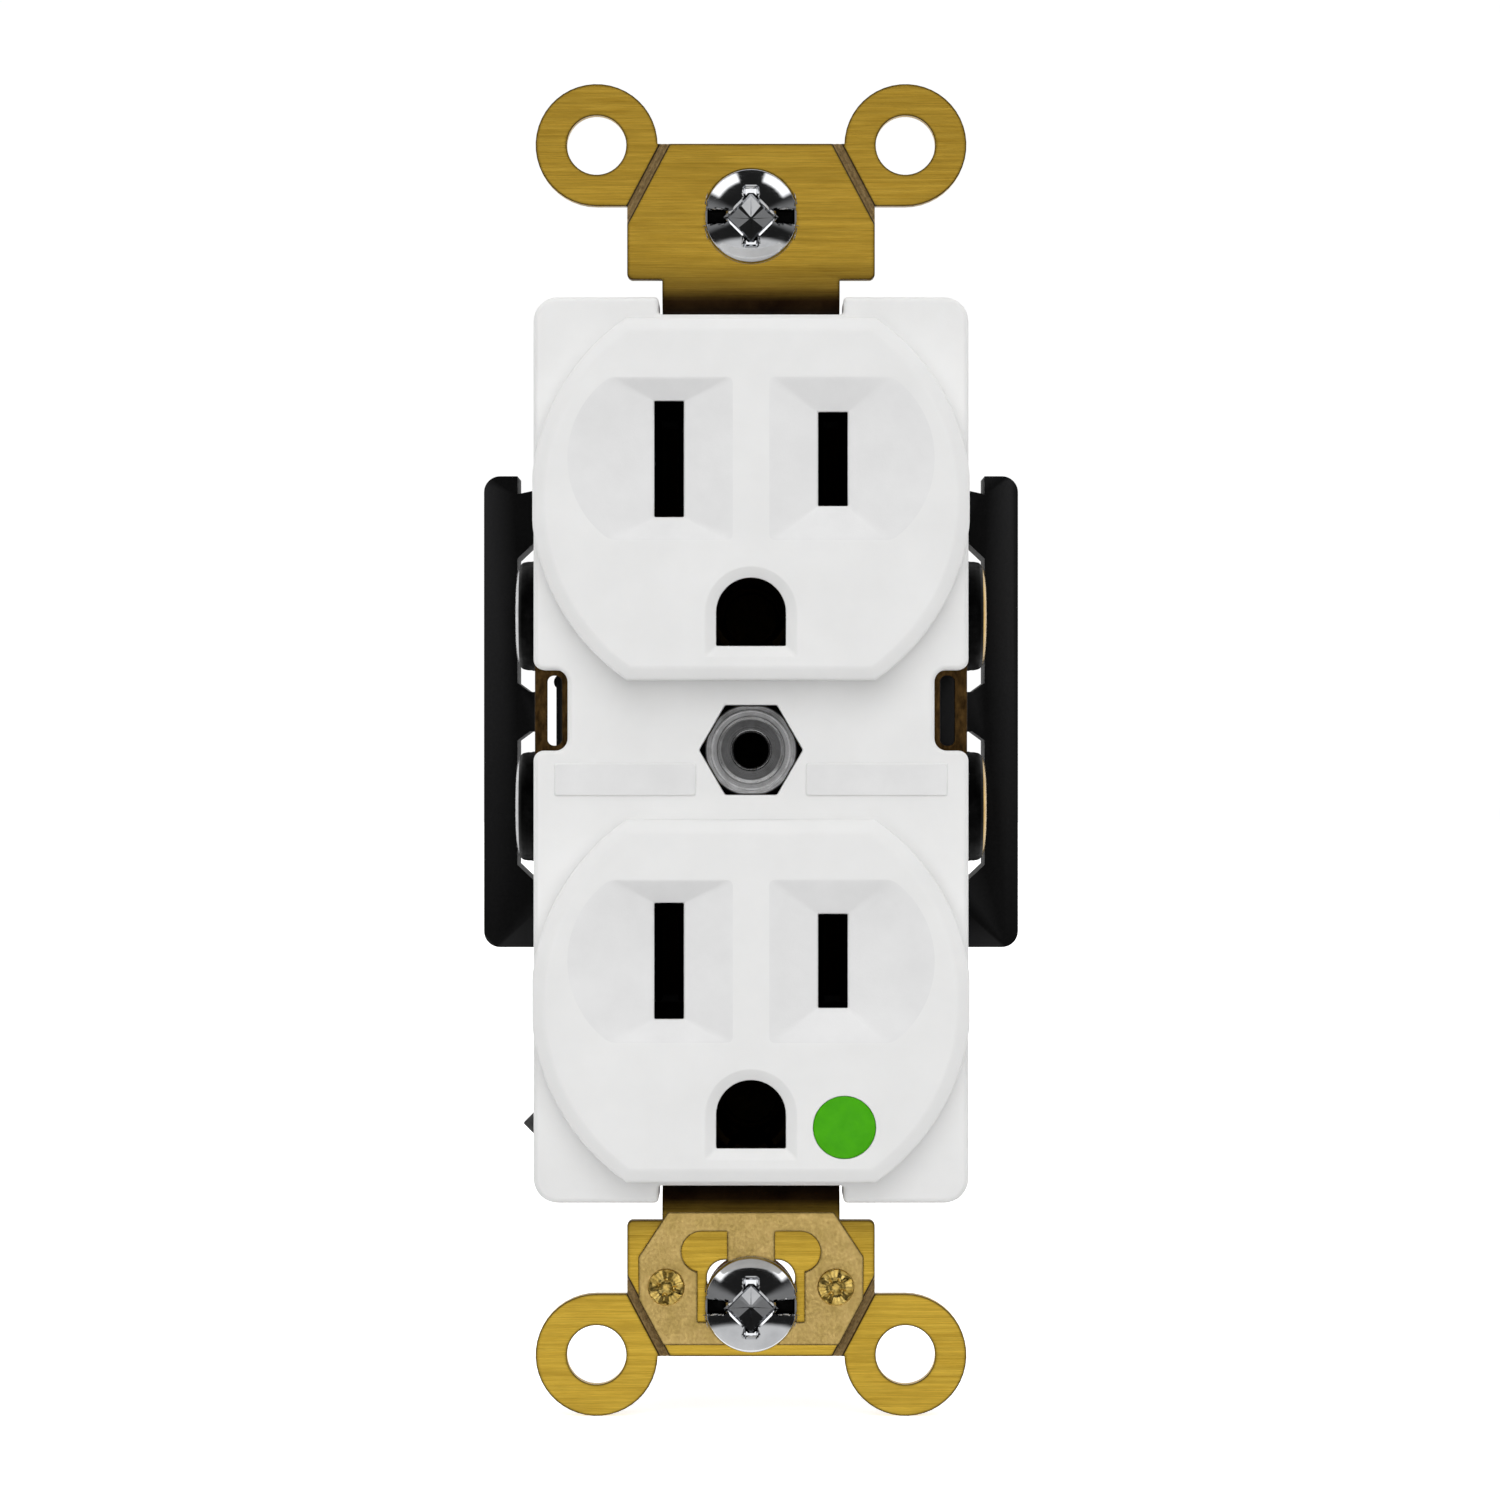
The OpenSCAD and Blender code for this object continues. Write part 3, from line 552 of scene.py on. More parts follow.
def fibre():
    s = Surface("fibre").fixed(specular=0.2)
    weave = s.grain((2600, 900, 2600), detail=5)
    s.colour(s.mix(s.spread(weave, 0, 1), (0.16, 0.085, 0.04), (0.33, 0.20, 0.11)))
    s.roughness(s.spread(weave, 0.75, 0.95))
    s.bump(weave, 0.5, 0.03)
    return s.material


WHITE = white_nylon()
PAINTED_SHADE = painted_slot_shade()
BLACK = black_nylon()
MATTE_SHADED = matte_shaded_nylon()
GREEN_MARK = green_inlay()
BRASS = brushed_brass()
CHROME = chrome()
SLOT_SHADE = metal("slot_shade", (0.004, 0.004, 0.004), (0.010, 0.010, 0.010),
                   (0.5, 0.7), 900, 0.01).material
STEEL = turned_steel()
FIBRE = fibre()
# the spring clip gets a dark rim of painted shade along its edges
SPRING = metal("spring_brass", (0.73, 0.52, 0.165), (0.98, 0.71, 0.27), (0.42, 0.6), 700, 0.02, 4200,
               rim=(0.04, 0.024, 0.008)).material
RIVET = metal("rivet_brass", (0.42, 0.26, 0.04), (0.95, 0.70, 0.22), (0.2, 0.45), 1500, 0.03, 1800).material
CONTACT = contact_brass()
# painted shade: a near-black copy of the brass for the ground contacts and rivets inside the body
INNER_BRASS = metal("inner_brass", (0.008, 0.005, 0.002), (0.02, 0.012, 0.004), (0.5, 0.7),
                    700, 0.015).material
DARK_STEEL = metal("dark_steel", (0.05, 0.05, 0.052), (0.12, 0.12, 0.122), (0.35, 0.6), 900, 0.02,
                   2600, (0.25, 0.25, 0.25)).material
NICKEL = metal("nickel_steel", (0.36, 0.36, 0.37), (0.55, 0.55, 0.56), (0.16, 0.32), 700).material
BRASS_PLATE = metal("brass_plate", (0.45, 0.27, 0.06), (0.66, 0.44, 0.13), (0.16, 0.32), 700).material
# painted shade: near black, for the rims of the terminal screw heads, which lie in shade
RIM_SHADE = metal("terminal_rim_shade", (0.004, 0.004, 0.004), (0.012, 0.012, 0.012), (0.4, 0.6), 1200, 0.01).material
ZINC = metal("zinc_steel", (0.10, 0.10, 0.10), (0.22, 0.22, 0.22), (0.4, 0.62), 900, 0.02).material
GREEN_STEEL = metal("green_steel", (0.008, 0.10, 0.03), (0.02, 0.2, 0.06), (0.25, 0.42), 900, 0.015,
                    2600, (0.2, 0.3, 0.15)).material


# ---------- face cover ----------

def cover_outline(inset):
    """The cover's outline in X and Z, drawn in by inset. Each corner is (x, z, radius, turn)."""
    w, h, notch, end = HALF_COVER, HALF_LENGTH, NOTCH_INNER, END_NOTCH_HALF
    low, high = TERMINAL_Z - NOTCH_HALF, TERMINAL_Z + NOTCH_HALF
    right = [
        (end, -h + END_NOTCH_DEPTH, 0.25, -1), (end, -h, 0.35, 1), (w, -h, 1.9, 1),
        (w, low, 0.8, 1), (notch, low, 0.95, -1), (notch, high, 0.95, -1), (w, high, 0.8, 1),
        (w, h, 1.9, 1), (end, h, 0.35, 1), (end, h - END_NOTCH_DEPTH, 0.25, -1)]
    corners = right + [(-x, z, r, turn) for x, z, r, turn in right[::-1]]
    ring = []
    count = len(corners)
    for i, (x, z, r, turn) in enumerate(corners):
        before = Vector(corners[i - 1][:2])
        here = Vector((x, z))
        after = Vector(corners[(i + 1) % count][:2])
        along = (here - before).normalized()
        onward = (after - here).normalized()
        inward_a = Vector((-along.y, along.x))
        inward_b = Vector((-onward.y, onward.x))
        tip = here + inset * (inward_a + inward_b)
        radius = max(0.05, r - inset * turn)
        centre = tip - along * radius + onward * radius
        steps = 9
        for k in range(steps):
            a = math.pi / 2 * k / (steps - 1)
            p = centre + along * (radius * math.sin(a)) - onward * (radius * math.cos(a))
            ring.append((p.x, p.y))
    return ring


def quarter(radius, steps):
    """Inset and rise of a rounded edge, from the side wall to the front."""
    turns = [math.pi / 2 * k / steps for k in range(steps + 1)]
    return [(radius * (1 - math.cos(a)), radius * (1 - math.sin(a))) for a in turns]


def flange():
    edge = quarter(0.42, 6)
    rings = [at_y(cover_outline(0), COVER_BACK)]
    rings += [at_y(cover_outline(inset), FLANGE + rise) for inset, rise in edge]
    return to_object("flange", loft(rings))


def face_outline(inset):
    steps = 61
    r, h = FACE_R - inset, FACE_HALF - inset
    tip = math.degrees(math.asin(h / r))
    ring = arc(0, 0, r, -tip, tip, steps) + arc(0, 0, r, 180 - tip, 180 + tip, steps)
    limit = HALF_COVER - 0.01 - 0.6 * inset
    return [(max(-limit, min(limit, x)), z) for x, z in ring]


# The rounded edge of a raised face, as (inset, distance behind the face).
CHAMFER = [(0, 0.68), (0.015, 0.57), (0.06, 0.48), (0.14, 0.405), (0.25, 0.34), (0.45, 0.245), (0.7, 0.13),
           (0.82, 0.08), (0.92, 0.042), (1.05, 0.013), (1.18, 0)]


def raised_face(centre_z):
    rings = [at_y(face_outline(0), FLANGE + 0.8, cz=centre_z)]
    rings += [at_y(face_outline(inset), FACE + rise, cz=centre_z) for inset, rise in CHAMFER]
    return to_object("raised", loft(rings))


def recess(bm, side, centre_z, slot_height):
    """A shallow four-sided funnel that ends in a blade slot."""
    rx, rz, reach, inner = RECESS_R, RECESS_HALF, RECESS_REACH, BLADE_X - RECESS_INNER
    half, tall, depth = SLOT_HALF, slot_height / 2, RECESS_DEPTH
    tip = math.degrees(math.acos(reach / rx))
    outer = [arc(0, 0, rx, 180 - tip, 180 + tip, 41), [(-reach, -rz), (inner, -rz)],
             [(inner, -rz), (inner, rz)], [(inner, rz), (-reach, rz)]]
    slot = [[(-half, tall), (-half, -tall)], [(-half, -tall), (half, -tall)],
            [(half, -tall), (half, tall)], [(half, tall), (-half, tall)]]
    counts = (33, 9, 9, 9)

    def ring(share, y, radius):
        sides = []
        for far, near in zip(outer, slot):
            far_at, _ = side_through(far)
            near_at, _ = side_through(near)
            sides.append([tuple(p + (q - p) * share for p, q in zip(far_at(k / 40), near_at(k / 40)))
                          for k in range(41)])
        points = soft_ring(sides, radius, 5, counts)
        return [(side * (BLADE_X - x), y, centre_z + BLADE_RISE + z) for x, z in points]

    def deep(share):
        return depth * (0.5 * (share + math.sqrt(share * share + 0.0036)) - 0.0085)

    rings = [ring(-0.12, FACE - 0.4, 0.5), ring(-0.12, FACE - 0.003, 0.5)]
    for share in (-0.08, -0.05, -0.025, 0, 0.025, 0.05, 0.08, 0.13, 0.2,
                  0.3, 0.4, 0.5, 0.6, 0.7, 0.8, 0.9, 0.96):
        rings.append(ring(share, FACE + deep(share), 0.5 - 0.38 * max(0, share)))
    rings.append(ring(0.975, FACE + deep(0.975) + 0.01, 0.13))
    rings.append(ring(1.0, FACE + depth + 0.09, 0.12))
    rings.append(ring(1.0, FACE + depth + 0.2, 0.12))
    rings.append(ring(1.0, SLOT_BACK, 0.12))
    loft(rings, bm)


def ground_funnel(bm, centre_z):
    """The arched ground opening, with a shallow sloping lead-in round it."""
    r, flat, lead, depth = GROUND_R, GROUND_FLAT, GROUND_LEAD, GROUND_LEAD_DEPTH

    def ring(out, y, radius):
        wide, low = r + out, flat + out
        arch = arc(0, 0, wide, 0, 180, 41)
        sides = [[(wide, -low)] + arch + [(-wide, -low)], [(-wide, -low), (wide, -low)]]
        points = soft_ring(sides, radius, 5, (45, 9))
        return at_y(points, y, 0, centre_z + BLADE_RISE - GROUND_DROP)

    rings = [ring(lead + 0.09, FACE - 0.4, 0.3), ring(lead + 0.09, FACE - 0.004, 0.3)]
    for share in (-0.06, 0.0, 0.07, 0.15, 0.3, 0.5, 0.7, 0.9):
        deep = 0.5 * (share + math.sqrt(share * share + 0.003)) * depth - 0.004
        rings.append(ring(lead * (1 - share), FACE + deep, 0.26 - 0.1 * max(0, share)))
    rings.append(ring(0.04, FACE + depth - 0.02, 0.16))
    rings.append(ring(0.0, FACE + depth + 0.06, 0.15))
    rings.append(ring(0.0, FACE + depth + 0.2, 0.15))
    rings.append(ring(0.0, SLOT_BACK, 0.15))
    loft(rings, bm)


def rimmed_cutter(bm, outline, y_front, y_back, rim, centre=(0, 0)):
    """A straight-sided hole whose front rim is rounded. outline(out) gives its ring."""
    wide = outline(rim * 1.02)
    rings = [at_y(wide, y_front - 0.4, *centre), at_y(wide, y_front - 0.002, *centre)]
    for inset, rise in quarter(rim, 4)[:-1][::-1]:
        rings.append(at_y(outline(inset), y_front + rise, *centre))
    rings.append(at_y(outline(0), y_back, *centre))
    loft(rings, bm)


def hex_outline(flats, corner):
    def outline(out):
        r = (flats / 2 + out) / math.cos(math.pi / 6)
        tips = [(r * math.cos(math.radians(60 * k)), r * math.sin(math.radians(60 * k)))
                for k in range(6)]
        return soft_ring([[tips[k], tips[(k + 1) % 6]] for k in range(6)], corner, 4)
    return outline


def rect_outline(width, height, corner):
    def outline(out):
        w, h = width / 2 + out, height / 2 + out
        tips = [(w, -h), (w, h), (-w, h), (-w, -h)]
        return soft_ring([[tips[k], tips[(k + 1) % 4]] for k in range(4)], corner, 4)
    return outline


def round_outline(radius):
    def outline(out):
        return arc(0, 0, radius + out, 0, 360 * 63 / 64, 64)
    return outline


def box_rings(bm, low, high):
    ring = [(low[0], low[2]), (high[0], low[2]), (high[0], high[2]), (low[0], high[2])]
    loft([at_y(ring, low[1]), at_y(ring, high[1])], bm)


def face_cover():
    cover = flange()
    for s in (1, -1):
        boolean(cover, raised_face(s * FACE_Z), "UNION")
    for s in (1, -1):
        pad = rect_outline(PLAQUE_WIDTH, PLAQUE_HEIGHT, 0.25)
        rings = [at_y(pad(inset), FLANGE - rise, s * PLAQUE_X, PLAQUE_Z)
                 for inset, rise in ((0, -0.5), (0, 0.02), (-0.09, 0.13), (-0.12, PLAQUE_RISE))]
        boolean(cover, to_object("plaque", loft(rings)), "UNION")
    room = rect_outline(2 * (HALF_COVER - WALL), 2 * (HALF_LENGTH - WALL), 0.8)(0)
    cavity = to_object("cavity", loft([at_y(room, FLANGE + WALL), at_y(room, 5)]))
    for s in (1, -1):
        inner = [at_y(face_outline(WALL), y, cz=s * FACE_Z) for y in (FACE + SKIN, FLANGE + WALL + 1)]
        boolean(cavity, to_object("inner", loft(inner)), "UNION")
    bosses = bmesh.new()
    loft([at_y(round_outline(5.6)(0), y) for y in (FLANGE + 1, 6)], bosses)
    for s in (1, -1):
        low, high = sorted((s * 12.5, s * 18))
        box_rings(bosses, (low, FLANGE + 1, TERMINAL_Z - 5), (high, 0.4, TERMINAL_Z + 5))
        low, high = sorted((s * 32.2, s * 34.5))
        box_rings(bosses, (-8.9, FLANGE + 1, low), (8.9, 6, high))
    boolean(cavity, to_object("bosses", bosses), "DIFFERENCE")
    boolean(cover, cavity, "DIFFERENCE")

    cutters = bmesh.new()
    for s in (1, -1):
        recess(cutters, -1, s * FACE_Z, NEUTRAL_SLOT)
        recess(cutters, 1, s * FACE_Z, LINE_SLOT)
        ground_funnel(cutters, s * FACE_Z)
        low, high = sorted((s * 13.4, s * 18))
        box_rings(cutters, (low, 0.4, TERMINAL_Z - 15.6), (high, 5, TERMINAL_Z + 15.6))
    rimmed_cutter(cutters, hex_outline(POCKET_FLATS, 0.14), FLANGE, 6, 0.14)
    rimmed_cutter(cutters, round_outline(DOT_R), FACE, FACE + DOT_DEPTH, 0.05, (DOT_X, DOT_Z))
    boolean(cover, to_object("cutters", cutters), "DIFFERENCE")
    cover.name = cover.data.name = "cover_moulding"
    tidy(cover)
    place(cover, [WHITE, PAINTED_SHADE, MATTE_SHADED], BODY, "face_cover", "white_nylon", 24)
    for polygon in cover.data.polygons:
        c = polygon.center / MM
        inside_slot = False
        for s in (1, -1):
            for side, tall in ((-1, NEUTRAL_SLOT), (1, LINE_SLOT)):
                beside = abs(c.x - side * BLADE_X) < SLOT_HALF + 0.03
                if beside and abs(c.z - s * FACE_Z - BLADE_RISE) < tall / 2 + 0.05:
                    inside_slot = inside_slot or c.y > FACE + 1.1
            if abs(c.x) < 2.75 and abs(c.z - s * FACE_Z - BLADE_RISE + GROUND_DROP) < 2.75:
                inside_slot = inside_slot or c.y > FACE + 0.5
        hidden = c.y > FACE + 1.9 and abs(c.x) < 15.6 and abs(c.z) < 34 and polygon.normal.y > 0.5
        # recess faces get the matte material, whose darker colour is painted shade
        recess_face = FACE + 0.012 < c.y <= FACE + 1.08 and polygon.normal.y < -0.75 and any(
            abs(c.z - s * FACE_Z - BLADE_RISE) < 6.35 and RECESS_INNER - 0.1 < abs(c.x)
            and math.hypot(abs(c.x) - BLADE_X, c.z - s * FACE_Z - BLADE_RISE) < 7.8 for s in (1, -1))
        plaque = c.y < FLANGE - 0.14 and abs(c.z - PLAQUE_Z) < 1.3
        # painted shade: the slot walls and the cover's back-facing inner faces get the near-black material
        if inside_slot or hidden:
            polygon.material_index = 1
        elif recess_face or plaque:
            polygon.material_index = 2


def inlay_dot():
    profile = [(2.40, DOT_DEPTH), (2.42, 0.08), (2.38, 0.025), (2.28, 0), (1.2, 0), (0.3, 0)]
    dot = to_object("green_dot", turned(profile, (DOT_X, FACE, DOT_Z), 72))
    place(dot, [GREEN_MARK], BODY, "hospital_grade_dot", "green_mark", 60)


# ---------- CAD nodes that keep their shape ----------

def dress(name, material, bevel, segments=2):
    """Softens the edges of a CAD node with modifiers and gives it its material."""
    obj = nodes[name]
    obj.data.materials.clear()
    obj.data.materials.append(material)
    close = obj.modifiers.new("weld", "WELD")
    close.merge_threshold = 0.002 * MM
    flat = obj.modifiers.new("flat", "DECIMATE")
    flat.decimate_type = "DISSOLVE"
    flat.angle_limit = math.radians(0.6)
    soft = obj.modifiers.new("soft", "BEVEL")
    soft.width = bevel * MM
    soft.segments = segments
    soft.limit_method = "ANGLE"
    soft.angle_limit = math.radians(32)
    smooth = obj.modifiers.new("normals", "WEIGHTED_NORMAL")
    smooth.keep_sharp = True
    obj.data.shade_smooth()


def dress_sheet(name, material):
    """Gives a stamped sheet its material. Its flat faces stay flat, and its bends are smooth."""
    obj = nodes[name]
    obj.data.materials.clear()
    obj.data.materials.append(material)
    close = obj.modifiers.new("weld", "WELD")
    close.merge_threshold = 0.01 * MM
    split = obj.modifiers.new("split", "EDGE_SPLIT")
    split.split_angle = math.radians(25)
    obj.data.shade_smooth()


# ---------- pieces made anew: screws, post, rivets ----------

def thread(bm, centre, radius, minor, start, stop, axis="Y", direction=1):
    """A cut thread as one closed helical skin, from start to stop along the axis."""
    pitch, around = SCREW_PITCH, 28
    form = [(0.0, minor), (0.14, minor), (0.44, radius), (0.56, radius), (0.86, minor)]
    per_turn = len(form)
    turns = int((stop - start) / pitch) - 1
    rows = []
    for k in range(turns * per_turn + 1):
        share, r = form[k % per_turn]
        along = start + (k // per_turn + share) * pitch
        row = []
        for j in range(around):
            y = along + pitch * j / around
            run_out = max(0.0, (stop - y - 0.1 * pitch) / (1.2 * pitch))
            run_in = max(0.0, (y - start) / pitch + 0.3)
            fade = min(1.0, run_out, run_in)
            size = minor * 0.86 + (r - minor * 0.86) * fade
            a = math.tau * j / around
            c, s = size * math.cos(a), size * math.sin(a)
            if axis == "Y":
                row.append(bm.verts.new((centre[0] + c, centre[1] + direction * y, centre[2] + s)))
            else:
                row.append(bm.verts.new((centre[0] + direction * y, centre[1] + c, centre[2] + s)))
        rows.append(row)
    last = len(rows) - 1
    for k in range(last):
        for j in range(around - 1):
            bm.faces.new((rows[k][j], rows[k][j + 1], rows[k + 1][j + 1], rows[k + 1][j]))
        if k + per_turn + 1 <= last:
            ahead = rows[k + per_turn]
            bm.faces.new((rows[k][-1], ahead[0], rows[k + per_turn + 1][0], rows[k + 1][-1]))
    bm.faces.new(rows[0] + [rows[k][0] for k in range(per_turn, 0, -1)])
    bm.faces.new(rows[last] + [rows[k][-1] for k in range(last - 1, last - per_turn - 1, -1)])


def join(target, bm):
    """Adds another closed shell to a piece."""
    base = bmesh.new()
    base.from_mesh(target.data)
    mesh = bpy.data.meshes.new("part")
    bmesh.ops.recalc_face_normals(bm, faces=bm.faces)
    bm.to_mesh(mesh)
    bm.free()
    base.from_mesh(mesh)
    base.to_mesh(target.data)
    base.free()
    bpy.data.meshes.remove(mesh)


def bevel_edges(obj, width, angle, segments):
    """Rounds the edges sharper than angle, in the mesh itself."""
    modifier = obj.modifiers.new("edges", "BEVEL")
    modifier.width = width
    modifier.segments = segments
    modifier.limit_method = "ANGLE"
    modifier.angle_limit = math.radians(angle)
    modifier.use_clamp_overlap = False
    modifier.miter_outer = "MITER_ARC"
    graph = bpy.context.evaluated_depsgraph_get()
    mesh = bpy.data.meshes.new_from_object(obj.evaluated_get(graph))
    obj.modifiers.clear()
    obj.data = mesh


def box_screw(level, z, seat):
    """The domed head has a straight slot, a square recess turned on its corner, and two short arms."""
    rim, dome, head, flats = 0.62, 1.45, 3.75, 3.53
    sphere = (head * head + dome * dome) / (2 * dome)
    profile = [(head - 0.12, 0), (head, -0.1), (head, -rim + 0.12)]
    for k in range(16):
        r = (head - 0.16) * math.cos(math.pi / 2 * k / 15)
        profile.append((r, -rim - (math.sqrt(max(0, sphere * sphere - r * r)) - (sphere - dome))))
    profile[-1] = (0.02, profile[-1][1])
    cap = to_object(f"{level}_head", turned(profile, (0, seat, z + 0.12), 120))
    flat = bmesh.new()
    for side in (1, -1):
        low, high = sorted((side * flats, side * 4.5))
        box_rings(flat, (low, seat - 5, z - 5), (high, seat + 1, z + 5))
    boolean(cap, to_object("flats", flat), "DIFFERENCE")
    top = seat - rim - dome
    slots = bmesh.new()
    for side in (1, -1):
        low, high = sorted((side * 1.94, side * 3.44))
        box_rings(slots, (low, top - 1, z - 0.54), (high, top + 1.7, z + 0.54))
    for end, half, reach in ((1, 0.58, 2.3), (-1, 0.55, 2.36)):
        low, high = sorted((end * 1.2, end * reach))
        box_rings(slots, (-half, top - 1, z + low), (half, top + 0.72, z + high))
    boolean(cap, to_object("slots", slots), "DIFFERENCE")
    corner, middle = 1.93, z - 0.1
    diamond = [(corner, 0), (0, corner), (-corner, 0), (0, -corner)]
    tool = to_object("diamond", loft([at_y(diamond, y, 0, middle) for y in (top - 1, top + 2.0)]))
    base = [(2.2, -2.2), (2.2, 2.2), (-2.2, 2.2), (-2.2, -2.2)]
    tip = [(x * 0.02, w * 0.02) for x, w in base]
    pyramid = loft([at_y(base, top - 1.2, 0, middle), at_y(base, top + 0.62, 0, middle),
                    at_y(tip, top + 1.72, 0, middle)])
    boolean(tool, to_object("pyramid", pyramid), "INTERSECT")
    boolean(cap, tool, "DIFFERENCE")
    tidy(cap, 0.002, 0.1)
    bevel_edges(cap, 0.16, 28, 1)
    join(cap, turned([(BOX_SHANK_R, -0.3), (BOX_SHANK_R, 6.4)], (0, seat, z), 40))
    body = bmesh.new()
    thread(body, (0, seat, z), BOX_SCREW_R, BOX_MINOR_R, 5.9, 25.35)
    join(cap, body)
    cap.name = cap.data.name = f"{level}_chrome_screw"
    place(cap, [CHROME, SLOT_SHADE], f"{level}_box_screw", f"{level}_mounting_screw",
          "bright_zinc", 30)
    for polygon in cap.data.polygons:
        c = polygon.center / MM
        if 1.95 < abs(c.x) < 3.45 and abs(c.z - z) < 0.56 and top + 0.75 < c.y < seat:
            polygon.material_index = 1
        if polygon.normal.y < -0.5 and abs(c.x) + abs(c.z - z) < 1.9 and top + 0.5 < c.y < seat:
            polygon.use_smooth = False


def terminal_screw(side, level):
    """A cross-slotted terminal screw on the X axis."""
    sign = -1 if side == "neutral" else 1
    z = TERMINAL_Z + (TERMINAL_STEP if level == "upper" else -TERMINAL_STEP)
    y, head = TERMINAL_Y, TERMINAL_HEAD_X
    centre = (sign * head, y, z)
    profile = [(4.1, 0), (4.3, 0.12), (4.38, 0.4), (4.38, 1.7), (4.3, 2.1), (4.05, 2.35), (3.5, 2.55),
               (2.6, 2.64), (1.4, 2.69), (0.4, 2.7)]
    cap = to_object("terminal_head", turned(profile, centre, 72, "X", sign))
    tool = bmesh.new()
    low, high = sorted((sign * (head + 1.7), sign * (head + 4)))
    box_rings(tool, (low, y - 2.2, z - 0.55), (high, y + 2.2, z + 0.55))
    boolean(cap, to_object("slot", tool), "DIFFERENCE")
    tool = bmesh.new()
    low, high = sorted((sign * (head + 1.4), sign * (head + 4)))
    box_rings(tool, (low, y - 0.55, z - 6), (high, y + 0.55, z + 6))
    boolean(cap, to_object("cross", tool), "DIFFERENCE")
    tidy(cap, 0.002, 0.1)
    bevel_edges(cap, 0.08, 30, 2)
    body = bmesh.new()
    thread(body, centre, TERMINAL_SCREW_R, TERMINAL_MINOR_R, -0.3, 5.4, "X", -sign)
    join(cap, body)
    cap.name = cap.data.name = f"{side}_{level}_terminal_screw"
    name = f"{side}_screw_{level}"
    plating = (NICKEL, "nickel_steel") if side == "neutral" else (BRASS_PLATE, "brass_plate")
    place(cap, [plating[0], RIM_SHADE], name, name, plating[1], 30)
    for polygon in cap.data.polygons:
        c = polygon.center / MM
        reach = math.hypot(c.y - y, c.z - z)
        # painted shade: the head's rim gets the near-black material
        if reach > 4.15 or (reach > 3.9 and abs(polygon.normal.x) < 0.93):
            polygon.material_index = 1


def ground_screw():
    """A hex head with a driver slot, washer face and cut thread."""
    x, z, head = GROUND_SCREW_X, GROUND_SCREW_Z, GROUND_SCREW_SEAT
    r = 3.5 / math.cos(math.pi / 6)
    turns = [math.radians(60 * k + 30) for k in range(6)]
    hexagon = [(r * math.cos(a), r * math.sin(a)) for a in turns]
    cap = to_object("hex", loft([at_y(hexagon, y, x, z) for y in (head, head + 2.38)]))
    cone = turned([(4.6, -0.2), (4.05, 0.55), (4.05, 1.7), (3.2, 2.38), (3.2, 2.6)], (x, head, z), 72)
    boolean(cap, to_object("cone", cone), "INTERSECT")
    tool = bmesh.new()
    box_rings(tool, (x - 6, head + 1.3, z - 0.55), (x + 6, head + 4, z + 0.55))
    boolean(cap, to_object("slot", tool), "DIFFERENCE")
    tidy(cap, 0.002, 0.1)
    bevel_edges(cap, 0.09, 24, 2)
    body = bmesh.new()
    thread(body, (x, head, z), TERMINAL_SCREW_R, TERMINAL_MINOR_R, -0.3, 7.3, "Y", -1)
    join(cap, body)
    cap.name = cap.data.name = "green_ground_screw"
    place(cap, [GREEN_STEEL], "ground_screw", "ground_screw", "green_steel", 30)


def hex_post():
    """The hexagonal post, with a turned collar and a threaded bore."""
    front = FLANGE + 0.5
    r = POST_FLATS / 2 / math.cos(math.pi / 6)
    turns = [math.radians(60 * k) for k in range(6)]
    sides = [(r * math.cos(a), r * math.sin(a)) for a in turns]
    post = to_object("post", loft([at_y(sides, front), at_y(sides, BODY_BACK)]))
    lathe = turned([(3.0, -0.2), (3.0, 0.0), (3.1, 0.015), (3.5, 0.12), (3.58, 0.2), (3.72, 2.5),
                    (4.3, 5), (4.3, 27), (1, 27)], (0, front, 0), 96)
    boolean(post, to_object("lathe", lathe), "INTERSECT")
    collar = [(2.9, 0.3), (2.66, 0.01), (2.58, -0.06), (2.46, -0.15), (2.38, -0.19), (2.30, -0.2),
              (1.76, -0.18), (1.62, -0.2), (1.53, -0.14), (1.44, 0.0), (1.30, 0.3)]
    boolean(post, to_object("collar", turned(collar, (0, front, 0), 96)), "UNION")
    bore = bmesh.new()
    rings = []
    for y, radius in ((-1.5, 1.56), (-0.18, 1.56), (-0.05, 1.45)):
        rings.append(at_y(round_outline(radius)(0), front + y))
    depth = 0.0
    while depth < 16.5:
        for share, radius in ((0, 1.44), (0.45, 1.62), (0.55, 1.62)):
            rings.append(at_y(round_outline(radius)(0), front + depth + SCREW_PITCH * share))
        depth += SCREW_PITCH
    loft(rings, bore)
    boolean(post, to_object("bore", bore), "DIFFERENCE")
    bevel_edges(post, 0.05, 24, 2)
    tail = [(2.2, -1), (2.2, 1.5), (3.2, 1.5), (3.2, 1.9), (2.95, 2.15), (2.2, 2.28), (0.6, 2.3)]
    join(post, turned(tail, (0, BODY_BACK - 0.1, 0), 64))
    post.name = post.data.name = "hex_post"
    place(post, [STEEL, PAINTED_SHADE], BODY, "plate_screw_post", "post_steel", 26)
    for polygon in post.data.polygons:
        c = polygon.center / MM
        radius = math.hypot(c.x, c.z)
        # painted shade: the bore and the hex sides near the front get the near-black material
        if (radius < 1.66 and front + 0.1 < c.y < 20) or (radius > 3.3 and front + 0.3 < c.y < 4):
            polygon.material_index = 1


